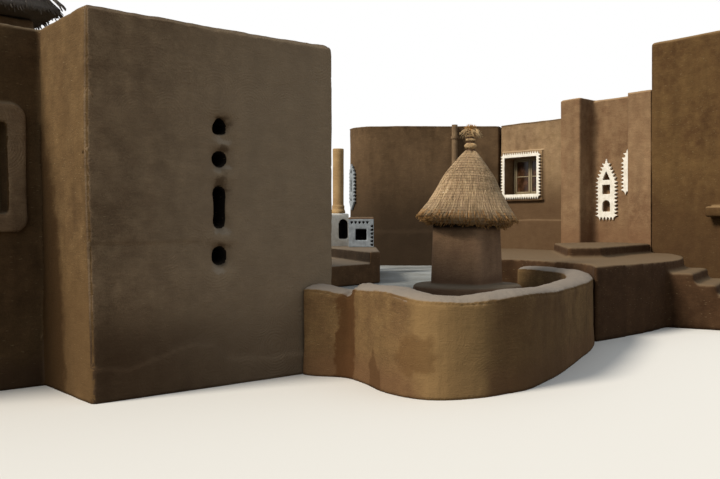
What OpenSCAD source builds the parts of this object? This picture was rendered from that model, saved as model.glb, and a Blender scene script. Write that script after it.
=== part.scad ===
/*
  Adobe courtyard house: a walled compound of earth-plastered ranges round a raised court.
  X runs along the front wall, Y runs into the compound, Z is up.
  The origin is the foot of the front block's near left corner, at the middle of its wall.
  All sizes are millimetres.
*/

/* [Levels] */
// Height of the court floor above the ground outside
court_z = 600; // [400:10:800]
// Height of the raised sitting platform above the court floor
platform_rise = 400; // [250:10:600]
// Height of the second platform level above the first
bench_rise = 180; // [100:10:300]
// Top of the front block and the left wing
left_h = 3420; // [3000:10:4200]
// Wall top of the thatched hut
hut_h = 3990; // [3600:10:4600]
// Top of the back wall and the window wall
back_h = 3900; // [3500:10:4200]
// Top of the relief wall and its pilaster
relief_h = 4270; // [4220:10:4800]
// Top of the tall block on the right
tall_h = 5200; // [4900:10:6000]

/* [Walls] */
// Thickness of the adobe walls
wall_t = 400; // [300:10:550]
// Rounding of free vertical corners
corner_r = 40; // [20:5:140]
// Rounding of the wall crests
crest_r = 50; // [30:5:140]
// Thickness of the flat mud roofs
roof_t = 160; // [100:10:300]
// Depth of the roofs below the wall tops
parapet_h = 320; // [200:10:500]

/* [Left ranges] */
// Length of the front wall
front_l = 2620; // [2200:10:3400]
// Distance that the left wing is set back from the front wall
wing_setback = 1130; // [800:10:1600]
// Length of the left wing wall
wing_l = 3000; // [2600:10:4000]
// Distance from the front wall to the hut
hut_y = 3000; // [2500:10:3300]
// Width of the hut along the front
hut_w = 3550; // [3000:10:4200]
// Depth of the hut
hut_d = 3500; // [2800:10:4000]
// Width of the doorways
door_w = 900; // [700:10:1200]
// Height of the doorways
door_h = 2050; // [1800:10:2300]

/* [Peepholes] */
// Distance of the peepholes from the left corner
peep_x = 1310; // [900:10:1800]
// Height of the pointed peephole above the ground
pointed_z = 2514; // [2420:2:2700]
// Height of the upper round peephole
upper_z = 2189; // [2050:1:2280]
// Height of the middle of the tall slot
slot_z = 1720; // [1620:5:1820]
// Height of the lower round peephole
lower_z = 1265; // [1000:5:1380]
// Diameter of the round peepholes
peep_d = 145; // [80:5:200]
// Height of the tall slot
slot_h = 380; // [200:10:500]
// Width of the tall slot
slot_w = 112; // [60:2:160]
// Width of the flare at the outer face, on each side
peep_flare = 30; // [10:5:50]

/* [Left window] */
// Width of the left window opening
lwin_w = 836; // [600:4:1100]
// Height of the left window opening
lwin_h = 850; // [600:10:1200]
// Sill height of the left window
lwin_z = 1660; // [1300:10:1800]
// Distance of the opening from the front block
lwin_gap = 318; // [250:2:500]
// Width of the raised mud border
lwin_band = 180; // [100:5:220]
// Projection of the raised mud border
lwin_proud = 60; // [30:5:100]

/* [Hut roof] */
// Overhang of the thatch at the front and back eaves
thatch_over = 420; // [250:10:600]
// Overhang of the thatch at the two ends
thatch_side = 210; // [120:10:500]
// Pitch of the hut's thatch in degrees
thatch_pitch = 48; // [38:1:52]
// Thickness of the thatch over the rafters, measured upright
thatch_t = 380; // [200:10:600]
// Height of the thatch's trimmed edge
thatch_edge = 60; // [40:5:160]
// Length of the hut's ridge
ridge_l = 500; // [300:10:1200]

/* [Low wall] */
// Thickness of the low court wall
low_t = 380; // [300:10:460]
// Height of the rounded crest of the low wall
low_round = 75; // [40:5:180]
// Mean height of the low wall
low_h = 915; // [850:5:1100]

/* [Granary] */
// Diameter of the granary's plinth
plinth_d = 1480; // [1300:10:1700]
// Height of the granary's plinth
plinth_h = 150; // [80:5:250]
// Side of the granary's body at its foot
bin_side = 790; // [650:10:900]
// Height of the granary's body above the plinth
bin_h = 880; // [700:10:1200]
// Rounding of the granary's corners
bin_r = 130; // [60:5:200]
// Diameter of the granary's thatch at the eaves
cap_d = 1400; // [1200:10:1600]
// Height of the granary's thatch from the body to the knot
cap_h = 970; // [800:10:1200]
// How far the granary's thatch leans over, in degrees
cap_lean = 3; // [0:1:5]
// Diameter of the lowest straw roll of the knot
knot_d = 175; // [120:5:240]

/* [Mud bench] */
// Length of the seat's front
bench_w = 1750; // [1400:10:2100]
// Seat height above the court
seat_h = 325; // [280:5:450]
// Height of the ledge beside the seat above the court
seat_back_h = 520; // [480:10:620]
// Width of the ledge at its near end
arm_t = 290; // [200:10:400]
// Turn of the seat's front from the front wall in degrees
bench_turn = 14; // [5:1:20]
// Turn of the ledge's inner face from the front wall in degrees
bench_inner = 66; // [60:1:75]
// Length of the ledge's outer face
bench_l = 3100; // [2900:10:3300]

/* [Court window] */
// Width of the court window opening
cwin_w = 916; // [700:4:1100]
// Height of the court window opening
cwin_h = 850; // [700:10:1000]
// Sill height of the court window
cwin_z = 2250; // [2000:10:2500]
// Width of the white band round the window
cwin_band = 60; // [50:2:110]
// Length of the teeth round the window
tooth_l = 58; // [30:2:90]
// Number of teeth over and under the window
teeth_wide = 16; // [7:1:18]
// Number of teeth on each side of the window
teeth_tall = 14; // [7:1:18]
// Projection of the raised mud plate that carries the white band
plate_out = 65; // [20:5:100]
// Width of the plate beyond the teeth
plate_rim = 28; // [5:1:50]
// Projection of the white band from its plate
band_proud = 22; // [10:1:40]
// Projection of the white reliefs
relief_proud = 45; // [20:1:80]
// Width of the casements' timber
sash_w = 55; // [35:1:90]
// Depth of the casements' timber
sash_d = 60; // [40:1:100]
// Depth of the casements behind the wall face
sash_set = 270; // [100:5:300]

/* [Reliefs] */
// Width of the pointed relief without its teeth
panel_w = 400; // [300:5:420]
// Height of the pointed relief to its shoulders
panel_h = 790; // [700:10:900]
// Height of the relief's point above its shoulders
panel_point = 430; // [300:10:450]
// Foot of the pointed relief above the ground
panel_z = 1715; // [1500:5:1800]
// Distance of the pointed relief's middle from the pilaster
panel_gap = 315; // [300:5:350]
// Length of the teeth on the reliefs
spike_l = 70; // [50:5:105]
// Width of the three niches
niche_w = 190; // [100:5:200]
// Depth of the niches
niche_d = 120; // [60:5:200]
// Sill of the arched niche above the relief's foot
arch_sill = 120; // [80:5:140]
// Height of the arched niche in the relief
arch_rise = 244; // [200:4:260]
// Sill of the square niche above the relief's foot
square_sill = 494; // [420:2:520]
// Height of the square niche
square_rise = 201; // [120:1:220]
// Sill of the triangular niche above the relief's foot
point_sill = 798; // [740:2:840]
// Height of the triangular niche
point_rise = 193; // [120:1:220]
// Width of the narrow relief beside the pier without its teeth
narrow_w = 170; // [120:5:180]
// Distance of the narrow relief's teeth from the pier
narrow_gap = 60; // [0:5:100]
// Height of the narrow relief to its shoulders
narrow_h = 640; // [500:10:700]
// Height of the narrow relief's point
narrow_point = 220; // [150:10:300]
// Foot of the narrow relief above the ground
narrow_z = 2250; // [2150:10:2400]
// Width of the relief on the rounded corner without its teeth
curved_w = 230; // [160:5:260]
// Height of the straight sides of the relief on the rounded corner
curved_h = 760; // [700:10:800]
// Height of the points of the relief on the rounded corner
curved_point = 170; // [120:10:220]
// Foot of the relief on the rounded corner above the ground
curved_z = 1900; // [1800:10:1950]
// Length of the teeth of the relief on the rounded corner
curved_spike = 50; // [30:5:70]
// Turn of the relief round the corner in degrees
curved_turn = 204; // [200:1:215]

/* [Back wall] */
// Length of the straight part of the back wall
back_l = 2800; // [2200:10:3200]
// Outer radius of the back wall's rounded corner
back_r = 730; // [600:10:1000]
// Depth of the rear range
rear_d = 3200; // [2600:10:4000]
// Distance of the clay downpipe from the window wall
pipe_at = 1070; // [600:10:1800]
// Outer diameter of the clay downpipe
pipe_d = 136; // [80:2:180]
// Wall of the clay downpipe
pipe_wall = 16; // [8:1:25]
// Width of the downpipe's collar on each side
collar_out = 20; // [8:2:40]
// Height of the downpipe's collar
collar_h = 60; // [30:5:120]
// Distance from the pipe's top to the collar
collar_drop = 330; // [150:10:600]

/* [Gateway] */
// Side of the gate pier, which is also the thickness of the dado wall below it
pier_side = 300; // [220:10:420]
// Height of the gate pier's shaft above the dado
pier_h = 1340; // [1000:10:1800]
// Height of the white dado wall above the court
dado_h = 1190; // [900:10:1400]
// Width of the gateway between the dado wall and the back wall's rounded corner
gate_w = 1810; // [1400:10:2200]
// Width of the arched niche under the pier
arch_w = 190; // [100:5:220]
// Height of the arched niche
arch_h = 400; // [300:10:500]
// Depth of the arched niche
arch_d = 180; // [100:10:200]
// Rounding of the dado wall's top
dado_r = 40; // [20:5:80]
// Distance from the dado's top down to the arched niche
arch_drop = 125; // [80:5:250]
// Side of the whitewashed niche block
block_side = 490; // [420:10:600]
// Height of the niche block above the court
block_h = 1105; // [900:5:1300]
// Side of the block's niche at its face
block_niche = 235; // [160:5:260]
// Sill of the block's niche above the court
block_sill = 645; // [500:5:700]
// Width of the bevel round the block's niche
block_bevel = 15; // [5:1:45]
// Height of the toothed notches in the block's face
notch_l = 60; // [30:5:70]
// Depth of the toothed notches
notch_d = 40; // [10:1:60]
// Height of the coping over the notches
coping_h = 85; // [50:5:100]

/* [Right ranges] */
// Distance from the left corner to the window wall
right_x = 12200; // [11800:10:12600]
// Depth of the right range behind the window wall
right_d = 3200; // [2800:10:4000]
// Projection of the pilaster from the window wall
pilaster_out = 150; // [60:10:300]
// Depth of the recess that holds the reliefs
recess_d = 400; // [200:10:500]
// Rounding of the corner between the pilaster and the recess
recess_r = 110; // [60:5:140]
// Length that the right range runs in front of the origin's line
right_front = 1000; // [600:10:1500]
// Projection of the ledge on the tall block
ledge_out = 260; // [150:10:400]
// Length of the ledge
ledge_l = 500; // [300:10:700]
// Height of the ledge
ledge_h = 190; // [100:5:300]
// Underside of the ledge above the ground
ledge_z = 1700; // [1600:10:2000]

/* [Steps] */
// Number of entrance steps
step_n = 5; // [4:1:6]
// Going of each step
step_go = 320; // [250:10:400]
// Width of the entrance steps
step_w = 1700; // [1200:10:2200]

/* [Hidden] */
$fn = 64;

// Overlap that keeps the cutting shapes clear of the faces they cut
cut = 20;

// Angle between the front wall and the back wall, the bench and the niche block
skew = -40.4;

// Levels and lines that several pieces share
platform_z = court_z + platform_rise;
bench_z = platform_z + bench_rise;
hut_x = -wing_l;
hut_right = hut_x + hut_w;
left_back = hut_y + hut_d;
room_x = front_l - wall_t;
back_at = [right_x, 5690];
// The centre of the back wall's rounded corner, in the skewed frame
corner_mid = [-back_l, back_r];
dado_end = from_back(corner_mid[0], corner_mid[1])[0] - back_r - gate_w;
outer_x = right_x + right_d;
recess_x = right_x + recess_d;
recess_back = recess_x + wall_t;
pilaster_x = right_x - pilaster_out;
pilaster_y = [3380, 3880];
relief_pier_y = [1820, 2350];
tall_y = relief_pier_y[0];
pier_at = [dado_end - pier_side, left_back - pier_side];
dado_z = court_z + dado_h;

// Colours of the finishes
plaster = [0.45, 0.34, 0.23];
plaster_lit = [0.52, 0.40, 0.26];
floor_grey = [0.60, 0.56, 0.50];
whitewash = [0.88, 0.86, 0.82];
straw = [0.68, 0.55, 0.36];
timber = [0.55, 0.47, 0.37];
clay = [0.55, 0.38, 0.26];

// Moves a piece so that the origin lies under the middle of the wall's corner
module house_frame() {
    translate([-wall_t / 2, -wall_t / 2, 0]) children();
}

// A point of the skewed frame that starts where the back wall meets the window wall
function from_back(x, y) = back_at
    + x * [cos(skew), sin(skew)] + y * [-sin(skew), cos(skew)];

// The piece that is cut away to round one corner
module corner_cut(r) {
    difference() {
        translate([-cut, -cut]) square([r + cut, r + cut]);
        translate([r, r]) circle(r);
    }
}

// A rectangle whose corners are rounded one by one, from the lower left, anticlockwise
module soft_rect(w, h, radii) {
    difference() {
        square([w, h]);
        if (radii[0] > 0) corner_cut(radii[0]);
        if (radii[1] > 0) translate([w, 0]) mirror([1, 0]) corner_cut(radii[1]);
        if (radii[2] > 0) translate([w, h]) rotate(180) corner_cut(radii[2]);
        if (radii[3] > 0) translate([0, h]) mirror([0, 1]) corner_cut(radii[3]);
    }
}

// A wall: plan radii by corner, crest radii on the left, right, front and back edges
module mud_block(size, plan = [0, 0, 0, 0], crest = [0, 0, 0, 0]) {
    intersection() {
        linear_extrude(size[2]) soft_rect(size[0], size[1], plan);
        translate([0, size[1] + cut, 0]) rotate([90, 0, 0])
            linear_extrude(size[1] + 2 * cut)
            soft_rect(size[0], size[2], [0, 0, crest[1], crest[0]]);
        translate([-cut, 0, 0]) rotate([90, 0, 90])
            linear_extrude(size[0] + 2 * cut)
            soft_rect(size[1], size[2], [0, 0, crest[3], crest[2]]);
    }
}

// Front block

// One round peephole, flared at the outer face
module round_hole(z, d) {
    translate([peep_x, -cut, z]) rotate([-90, 0, 0]) cylinder(d = d, h = wall_t + 2 * cut);
    translate([peep_x, -1, z]) rotate([-90, 0, 0])
        cylinder(d1 = d + 2 * peep_flare, d2 = d, h = peep_flare + 1);
}

module tall_slot(z) {
    reach = (slot_h - slot_w) / 2;
    for (side = [-1, 1]) round_hole(z + side * reach, slot_w);
    translate([peep_x - slot_w / 2, -cut, z - reach])
        cube([slot_w, wall_t + 2 * cut, 2 * reach]);
}

// Half-width of the pointed peephole at its shoulders and the height of its tip, in half-diameters
point_shoulder = 0.9;
point_tip = 1.25;

module pointed_hole(z) {
    half = peep_d / 2;
    shoulder = half * point_shoulder;
    translate([peep_x, wall_t + cut, z]) rotate([90, 0, 0])
        linear_extrude(wall_t + 2 * cut)
        polygon([[-half, -half], [half, -half], [shoulder, 0], [0, half * point_tip], [-shoulder, 0]]);
}

module front_wall() {
    color(plaster) difference() {
        mud_block([front_l, wall_t, left_h], [corner_r, corner_r, 0, 0],
            [crest_r, crest_r, crest_r, crest_r]);
        pointed_hole(pointed_z);
        round_hole(upper_z, peep_d);
        tall_slot(slot_z);
        round_hole(lower_z, peep_d);
    }
}

module left_return() {
    color(plaster_lit) translate([0, wall_t, 0])
        mud_block([wall_t, wing_setback, left_h], [0, 0, corner_r, 0], [crest_r, crest_r, 0, 0]);
}

// Left wing and its window

lwin_x = -lwin_gap - lwin_w;

module left_wing_wall() {
    color(plaster) difference() {
        translate([-wing_l, wing_setback, 0])
            mud_block([wing_l, wall_t, left_h], [corner_r, 0, 0, 0], [crest_r, 0, crest_r, crest_r]);
        translate([lwin_x, wing_setback - cut, lwin_z]) cube([lwin_w, wall_t + 2 * cut, lwin_h]);
    }
}

// Rounding of the mud border's corners as a share of its width
border_round = 0.7;

module left_window_border() {
    outer = [lwin_w + 2 * lwin_band, lwin_h + 2 * lwin_band];
    round_r = lwin_band * border_round;
    color(plaster) translate([lwin_x - lwin_band, wing_setback, lwin_z - lwin_band])
        rotate([90, 0, 0]) linear_extrude(lwin_proud) difference() {
            soft_rect(outer[0], outer[1], [round_r, round_r, round_r, round_r]);
            translate([lwin_band, lwin_band]) square([lwin_w, lwin_h]);
        }
}

// A two-light casement, standing in the plane y = 0 and sash_d deep
module casement(w, h) {
    rotate([90, 0, 0]) linear_extrude(sash_d) difference() {
        square([w, h]);
        for (light = [0, 1])
            translate([sash_w + light * (w - sash_w) / 2, sash_w])
                square([(w - 3 * sash_w) / 2, h - 2 * sash_w]);
    }
}

module left_window() {
    color(timber) translate([lwin_x, wing_setback + sash_set + sash_d, lwin_z])
        casement(lwin_w, lwin_h);
}

// The left outer wall closes the wing and then rises to carry the hut's eaves
module left_outer_wall() {
    color(plaster) {
        translate([-wing_l, wing_setback + wall_t, 0])
            mud_block([wall_t, hut_y - wing_setback - wall_t, left_h], [0, 0, 0, 0],
                [crest_r, crest_r, 0, 0]);
        translate([hut_x, hut_y, 0]) mud_block([wall_t, hut_d - wall_t, hut_h]);
    }
}

// The wall between the court and the front room stands on the raised floor
module court_side_wall() {
    door_y = hut_y + wall_t;
    color(plaster) difference() {
        translate([room_x, wall_t, court_z])
            mud_block([wall_t, left_back - 2 * wall_t, left_h - court_z], [0, 0, 0, 0],
                [crest_r, crest_r, 0, 0]);
        translate([room_x - cut, door_y, court_z - cut])
            cube([wall_t + 2 * cut, door_w, door_h + cut]);
    }
}

module left_rear_wall() {
    door_x = hut_x + wall_t + (hut_w - 2 * wall_t - door_w) / 2;
    color(plaster) difference() {
        union() {
            translate([hut_x, left_back - wall_t, 0])
                mud_block([hut_w, wall_t, hut_h], [0, 0, 0, corner_r]);
            translate([hut_right, left_back - wall_t, 0])
                mud_block([front_l - hut_right, wall_t, left_h], [0, 0, corner_r, 0],
                    [0, crest_r, crest_r, crest_r]);
        }
        translate([door_x, left_back - wall_t - cut, -cut])
            cube([door_w, wall_t + 2 * cut, door_h + cut]);
    }
}

// The room behind the front block and the wing, in plan
module left_room_plan() {
    polygon([
        [wall_t, wall_t], [room_x, wall_t], [room_x, left_back - wall_t],
        [hut_right, left_back - wall_t], [hut_right, hut_y], [wall_t - wing_l, hut_y],
        [wall_t - wing_l, wing_setback + wall_t], [wall_t, wing_setback + wall_t]
    ]);
}

module left_roof() {
    color(plaster) translate([0, 0, left_h - parapet_h]) linear_extrude(roof_t) left_room_plan();
}

// Thatched hut

module hut_front_wall() {
    color(plaster) translate([hut_x + wall_t, hut_y, 0])
        mud_block([hut_w - wall_t, wall_t, hut_h], [0, corner_r, 0, 0]);
}

module hut_right_wall() {
    color(plaster) translate([hut_right - wall_t, hut_y + wall_t, 0])
        cube([wall_t, hut_d - 2 * wall_t, hut_h]);
}

// The hipped form over the hut, from the trimmed edge up to a short ridge
module hip() {
    w = hut_w + 2 * thatch_side;
    d = hut_d + 2 * thatch_over;
    top = thatch_edge + d / 2 * tan(thatch_pitch);
    intersection() {
        translate([-thatch_side, -thatch_over, 0]) rotate([90, 0, 90]) linear_extrude(w)
            polygon([[0, 0], [d, 0], [d, thatch_edge], [d / 2, top], [0, thatch_edge]]);
        translate([-thatch_side, hut_d + thatch_over, 0]) rotate([90, 0, 0]) linear_extrude(d)
            polygon([[0, 0], [w, 0], [w, thatch_edge], [(w + ridge_l) / 2, top],
                [(w - ridge_l) / 2, top], [0, thatch_edge]]);
    }
}

// The thatch is hollow over the room and rests on the full thickness of the walls
module hut_thatch() {
    color(straw) translate([hut_x, hut_y, hut_h]) difference() {
        hip();
        intersection() {
            translate([0, 0, -thatch_t]) hip();
            translate([wall_t, wall_t, -cut])
                cube([hut_w - 2 * wall_t, hut_d - 2 * wall_t, hut_d]);
        }
    }
}

// Low court wall

// The centre line of the low wall, from the front wall round to its free end
low_line = [
    [2420, 160], [2440, -60], [2600, -300], [2650, -520], [2580, -880], [2455, -1290],
    [2500, -1640], [2760, -1790], [3080, -1835], [3420, -1830], [4070, -1615],
    [4610, -1395], [5210, -1125], [5850, -840], [6450, -480], [6930, -60],
    [7230, 430], [7310, 860], [7340, 1230]
];
// How far the crest stands above or below the mean height at each point
low_wave = [40, 42, 18, -24, 8, 14, 2, -18, -10, 0, -12, -17, -25, -22, -10, 0, 5, 15, 5];
low_parts = 6;
low_last = len(low_line) - 1;

// A smooth curve through a list of values, at position p counted in points
function on_curve(list, p) =
    let (i = min(floor(p), low_last - 1), t = p - i,
        a = list[max(i - 1, 0)], b = list[i],
        c = list[i + 1], d = list[min(i + 2, low_last)])
    0.5 * (2 * b + (c - a) * t + (2 * a - 5 * b + 4 * c - d) * t * t
        + (3 * b - a - 3 * c + d) * t * t * t);

// The direction across the wall, towards the court
function across(p) =
    let (step = 0.02, run = on_curve(low_line, min(p + step, low_last))
        - on_curve(low_line, max(p - step, 0)))
    [-run[1], run[0]] / norm(run);

// Half the thickness, which closes to a round nose at the free end
function low_half(p) =
    let (left = norm(on_curve(low_line, low_last) - on_curve(low_line, p)), half = low_t / 2)
    left >= half || p < low_last - 1.5 ? half
        : half * sqrt(max(1 - pow(1 - left / half, 2), 0.02));

function low_crest(p) =
    low_h + on_curve(low_wave, p) - (low_t / 2 - low_half(p)) * 0.5;

// One cross-section of the low wall: upright sides under a rounded crest
crest_steps = 8;
function low_ring(p) =
    let (mid = on_curve(low_line, p), n = across(p), half = low_half(p), top = low_crest(p))
    concat(
        [[each mid + n * half, 0]],
        [for (k = [0:crest_steps])
            let (a = 180 * k / crest_steps)
            [each mid + n * half * cos(a), top - low_round + low_round * sin(a)]],
        [[each mid - n * half, 0]]
    );

// The stretch of low wall between two positions on the centre line
module low_wall(p0, p1) {
    count = round((p1 - p0) * low_parts);
    rings = [for (i = [0:count]) low_ring(p0 + i / low_parts)];
    size = crest_steps + 3;
    sides = [for (i = [0:count - 1], k = [0:size - 1])
        let (a = i * size + k, b = i * size + (k + 1) % size)
        each [[a, b, b + size], [a, b + size, a + size]]];
    first = [for (k = [0:size - 1]) size - 1 - k];
    last = [for (k = [0:size - 1]) count * size + k];
    polyhedron([for (ring = rings) each ring], concat([first], sides, [last]), convexity = 6);
}

stub_end = 3;
bend_end = 9;
front_end = 13;

module low_wall_stub() {
    color(plaster_lit) difference() {
        low_wall(0, stub_end);
        translate([0, 0, -cut]) cube([front_l, wall_t, left_h]);
    }
}

module low_wall_bend() {
    color(plaster_lit) low_wall(stub_end, bend_end);
}

module low_wall_front() {
    color(plaster) low_wall(bend_end, front_end);
}

module low_wall_end() {
    color(plaster) low_wall(front_end, low_last);
}

// Points along one side of the low wall, side 1 towards the court and side -1 outside
function low_side(p0, p1, side) =
    [for (i = [0:round((p1 - p0) * low_parts)])
        let (p = p0 + i / low_parts)
        on_curve(low_line, p) + across(p) * low_half(p) * side];

// Court floor and platform

platform_corner = [7210, 1930];
platform_near = [7690, 1520];
platform_meets = 17;
platform_starts = 14;
// Where the platform's inner edge meets the back wall, short of its end
platform_back = 250;

// The back wall's rounded corner as points, from the straight wall round to the side
function corner_arc(r, n) =
    [for (i = [0:n])
        let (a = 270 - 90 * i / n)
        from_back(corner_mid[0] + r * cos(a), corner_mid[1] + r * sin(a))];

module court_floor() {
    color(floor_grey) linear_extrude(court_z) polygon(concat(
        [[front_l, 0]],
        low_side(1.5, low_last, 1),
        [platform_near, platform_corner, from_back(-platform_back, 0)],
        corner_arc(back_r, 12),
        [
            [dado_end, left_back], [dado_end, pier_at[1]], [front_l, pier_at[1]],
            [front_l, left_back - wall_t], [hut_right, left_back - wall_t],
            [hut_right, hut_y], [wall_t - wing_l, hut_y],
            [wall_t - wing_l, wing_setback + wall_t], [wall_t, wing_setback + wall_t],
            [wall_t, wall_t], [front_l, wall_t]
        ]
    ));
}

// The platform's front edge bows out between the low wall and the tall block
platform_front_end = [right_x, 1400];
platform_front_start = low_side(platform_starts, platform_starts, -1)[0];
platform_bow = 620;
edge_parts = 14;
function platform_edge(n) =
    let (run = platform_front_start - platform_front_end,
        out = [-run[1], run[0]] / norm(run))
    [for (i = [0:n])
        let (t = i / n)
        platform_front_end + run * t + out * platform_bow * sin(180 * t)];

module platform() {
    color(floor_grey) linear_extrude(platform_z) polygon(concat(
        platform_edge(edge_parts),
        low_side(platform_starts + 1 / low_parts, platform_meets, -1),
        [platform_near, platform_corner, from_back(-platform_back, 0), back_at],
        [
            [right_x, pilaster_y[1]], [pilaster_x, pilaster_y[1]], [pilaster_x, pilaster_y[0]],
            [recess_x, pilaster_y[0]], [recess_x, relief_pier_y[1]], [right_x, relief_pier_y[1]]
        ]
    ));
}

// The second level starts in two steps near the low wall and ends short of the pilaster
bench_near = [8580, 1220];
bench_bend = [9200, 980];
bench_back = 900;

module platform_bench() {
    color(floor_grey) translate([0, 0, platform_z]) linear_extrude(bench_rise)
        polygon([bench_near, bench_bend, [right_x, tall_y], [right_x, relief_pier_y[1]],
            [recess_x, relief_pier_y[1]], [recess_x, pilaster_y[0]],
            [pilaster_x, pilaster_y[0]], [pilaster_x - bench_back, pilaster_y[0]]]);
}

// The steps climb to the platform square to its front edge
module entrance_steps() {
    edge = platform_edge(edge_parts);
    middle = edge_parts / 2;
    head = edge[middle];
    run = edge[middle + 1] - edge[middle - 1];
    turn = atan2(run[1], run[0]);
    rise = platform_z / (step_n + 1);
    color(floor_grey) translate([each head, 0]) rotate(turn) difference() {
        for (i = [0:step_n - 1])
            translate([-step_w / 2, 0, 0])
                cube([step_w, (step_n - i) * step_go, (i + 1) * rise]);
        rotate(-turn) translate([each -head, -cut]) linear_extrude(platform_z + 2 * cut)
            polygon(concat(edge, [[right_x, pilaster_y[1]], back_at]));
    }
}

// Granary

granary_at = [5560, 710];
bin_turn = 15.9;
cap_z = court_z + plinth_h + bin_h;

// Rounding of the plinth's rim
plinth_r = 60;

module granary_plinth() {
    color(plaster) translate([each granary_at, court_z]) rotate_extrude() difference() {
        square([plinth_d / 2, plinth_h]);
        translate([plinth_d / 2, plinth_h]) rotate(180) corner_cut(plinth_r);
    }
}

// How far the body narrows towards its top
bin_taper = 0.94;

module granary_body() {
    half = bin_side / 2;
    color(plaster) translate([each granary_at, court_z + plinth_h]) rotate(bin_turn)
        linear_extrude(bin_h, scale = bin_taper)
        translate([-half, -half]) soft_rect(bin_side, bin_side, [bin_r, bin_r, bin_r, bin_r], $fn = 32);
}

// The underside slants from the body down to the hanging straw, then up to the trimmed eaves
cap_seat = 500;
cap_foot = 520;
cap_hang = 95;
// Play round the body inside the underside
seat_play = 8;
// The bell of the thatch: half-width and height in shares of the eaves' and of cap_h
cap_slope = [[1, 0.03], [0.925, 0.1], [0.83, 0.18], [0.735, 0.28], [0.615, 0.46], [0.49, 0.64],
    [0.3, 0.82], [0.165, 0.945]];
cap_neck = 66;
// The thatch leans towards the back wall's end of the court
lean_way = skew;
// How deep the leaning thatch settles on the body
cap_sink = 24;
// Its tip is levelled by this much for the upright knot
neck_cut = 6;
cap_foot_at = [each granary_at, cap_z - cap_sink];
cap_top_at = cap_foot_at + [0, 0, -neck_cut] + cap_h
    * [sin(cap_lean) * cos(lean_way), sin(cap_lean) * sin(lean_way), cos(cap_lean)];

// The thatch fits the flat top of the body inside its slanting underside
module granary_thatch() {
    r = cap_d / 2;
    color(straw) difference() {
        translate(cap_foot_at) rotate(lean_way) rotate([0, cap_lean, 0]) rotate_extrude() polygon([
            [0, 0], [cap_seat, 0], [cap_foot, -cap_hang],
            for (point = cap_slope) [r * point[0], cap_h * point[1]],
            [cap_neck, cap_h], [0, cap_h]
        ]);
        translate([each granary_at, cap_z - bin_h]) cylinder(r = cap_seat + seat_play, h = bin_h);
        translate(cap_top_at) cylinder(r = 2 * cap_neck, h = cap_h);
    }
}

// The knot's rolls from the lowest up: width in shares of knot_d, and their heights
roll_wide = [1, 0.78, 0.6];
roll_tall = [103, 62, 46];
// The tuft over the rolls: width at its foot and its head, and its height
tuft_foot = 80;
tuft_head = 280;
tuft_h = 130;

// Height of the foot of one roll over the thatch
function roll_foot(i) = i == 0 ? 0 : roll_foot(i - 1) + roll_tall[i - 1];

// Three tied rolls of straw under a spread tuft
module granary_knot() {
    color(straw) translate(cap_top_at) {
        for (i = [0:2]) {
            edge = roll_tall[i] / 2;
            core = knot_d * roll_wide[i] / 2 - edge;
            translate([0, 0, roll_foot(i)]) rotate_extrude() intersection() {
                square([knot_d, roll_tall[i]]);
                union() {
                    square([core, roll_tall[i]]);
                    translate([core, edge]) circle(edge);
                }
            }
        }
        translate([0, 0, roll_foot(3)]) cylinder(d1 = tuft_foot, d2 = tuft_head, h = tuft_h);
    }
}

// Mud seat beside a ledge that widens back to the dado wall, from the ledge's near right corner,
// which lies to the left of the gate pier and before it
bench_left = 1545.82;
bench_before = 3045;
bench_at = pier_at - [bench_left, bench_before];
function on_bench(turn, l) = bench_at + l * [cos(turn), sin(turn)];

module mud_bench() {
    seat_end = on_bench(180 + bench_turn, bench_w);
    inner = on_bench(180 + bench_turn, arm_t);
    outer_end = on_bench(90 + skew, bench_l);
    back_y = pier_at[1];
    back_end = [dado_end - corner_r, back_y];
    color(plaster) translate([0, 0, court_z]) {
        linear_extrude(seat_h)
            polygon([seat_end, bench_at, outer_end, back_end, [seat_end[0], back_y]]);
        linear_extrude(seat_back_h) polygon([inner, bench_at, outer_end, back_end,
            [inner[0] + (back_y - inner[1]) / tan(bench_inner), back_y]]);
    }
}

// Niche block, dado wall and gate pier

// The block stands on the ledge, to the left of the gate pier and before it
block_left = 333;
block_before = 769;
block_at = pier_at - [block_left, block_before];
block_edge = 25;
block_notches = [5, 6];
notch_gap = 0.04;

// A square recess towards +Y whose sides slope in from the face
module bevelled_niche(w, bevel, d) {
    profile = [[-w / 2 - bevel, -cut], [w / 2 + bevel, -cut], [w / 2 + bevel, 0],
        [w / 2, bevel], [w / 2, d], [-w / 2, d], [-w / 2, bevel], [-w / 2 - bevel, 0]];
    intersection() {
        linear_extrude(2 * w, center = true) polygon(profile);
        rotate([0, 90, 0]) linear_extrude(2 * w, center = true) polygon(profile);
    }
}

// The toothed border of the block's face: notches under the coping and down the right edge
module block_notch_shapes() {
    across_l = block_side - 2 * block_edge - notch_l;
    down_l = block_h - block_sill - block_edge;
    foot = block_h - coping_h - notch_l - down_l;
    translate([block_edge + across_l, block_h - coping_h]) rotate(180)
        teeth(across_l, block_notches[0], notch_l, notch_gap);
    translate([block_side - block_edge / 2, foot]) rotate(90)
        teeth(down_l, block_notches[1], notch_l, notch_gap);
}

module niche_block() {
    color(whitewash) translate([each block_at, court_z]) rotate(skew) difference() {
        translate([0, 0, seat_back_h])
            mud_block([block_side, block_side, block_h - seat_back_h], [0, 0, 0, 0],
                [block_edge, block_edge, block_edge, block_edge]);
        translate([block_side / 2, 0, block_sill + block_niche / 2])
            bevelled_niche(block_niche - 2 * block_bevel, block_bevel, block_side / 2);
        translate([0, notch_d, 0]) rotate([90, 0, 0])
            linear_extrude(notch_d + cut) block_notch_shapes();
    }
}

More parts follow.
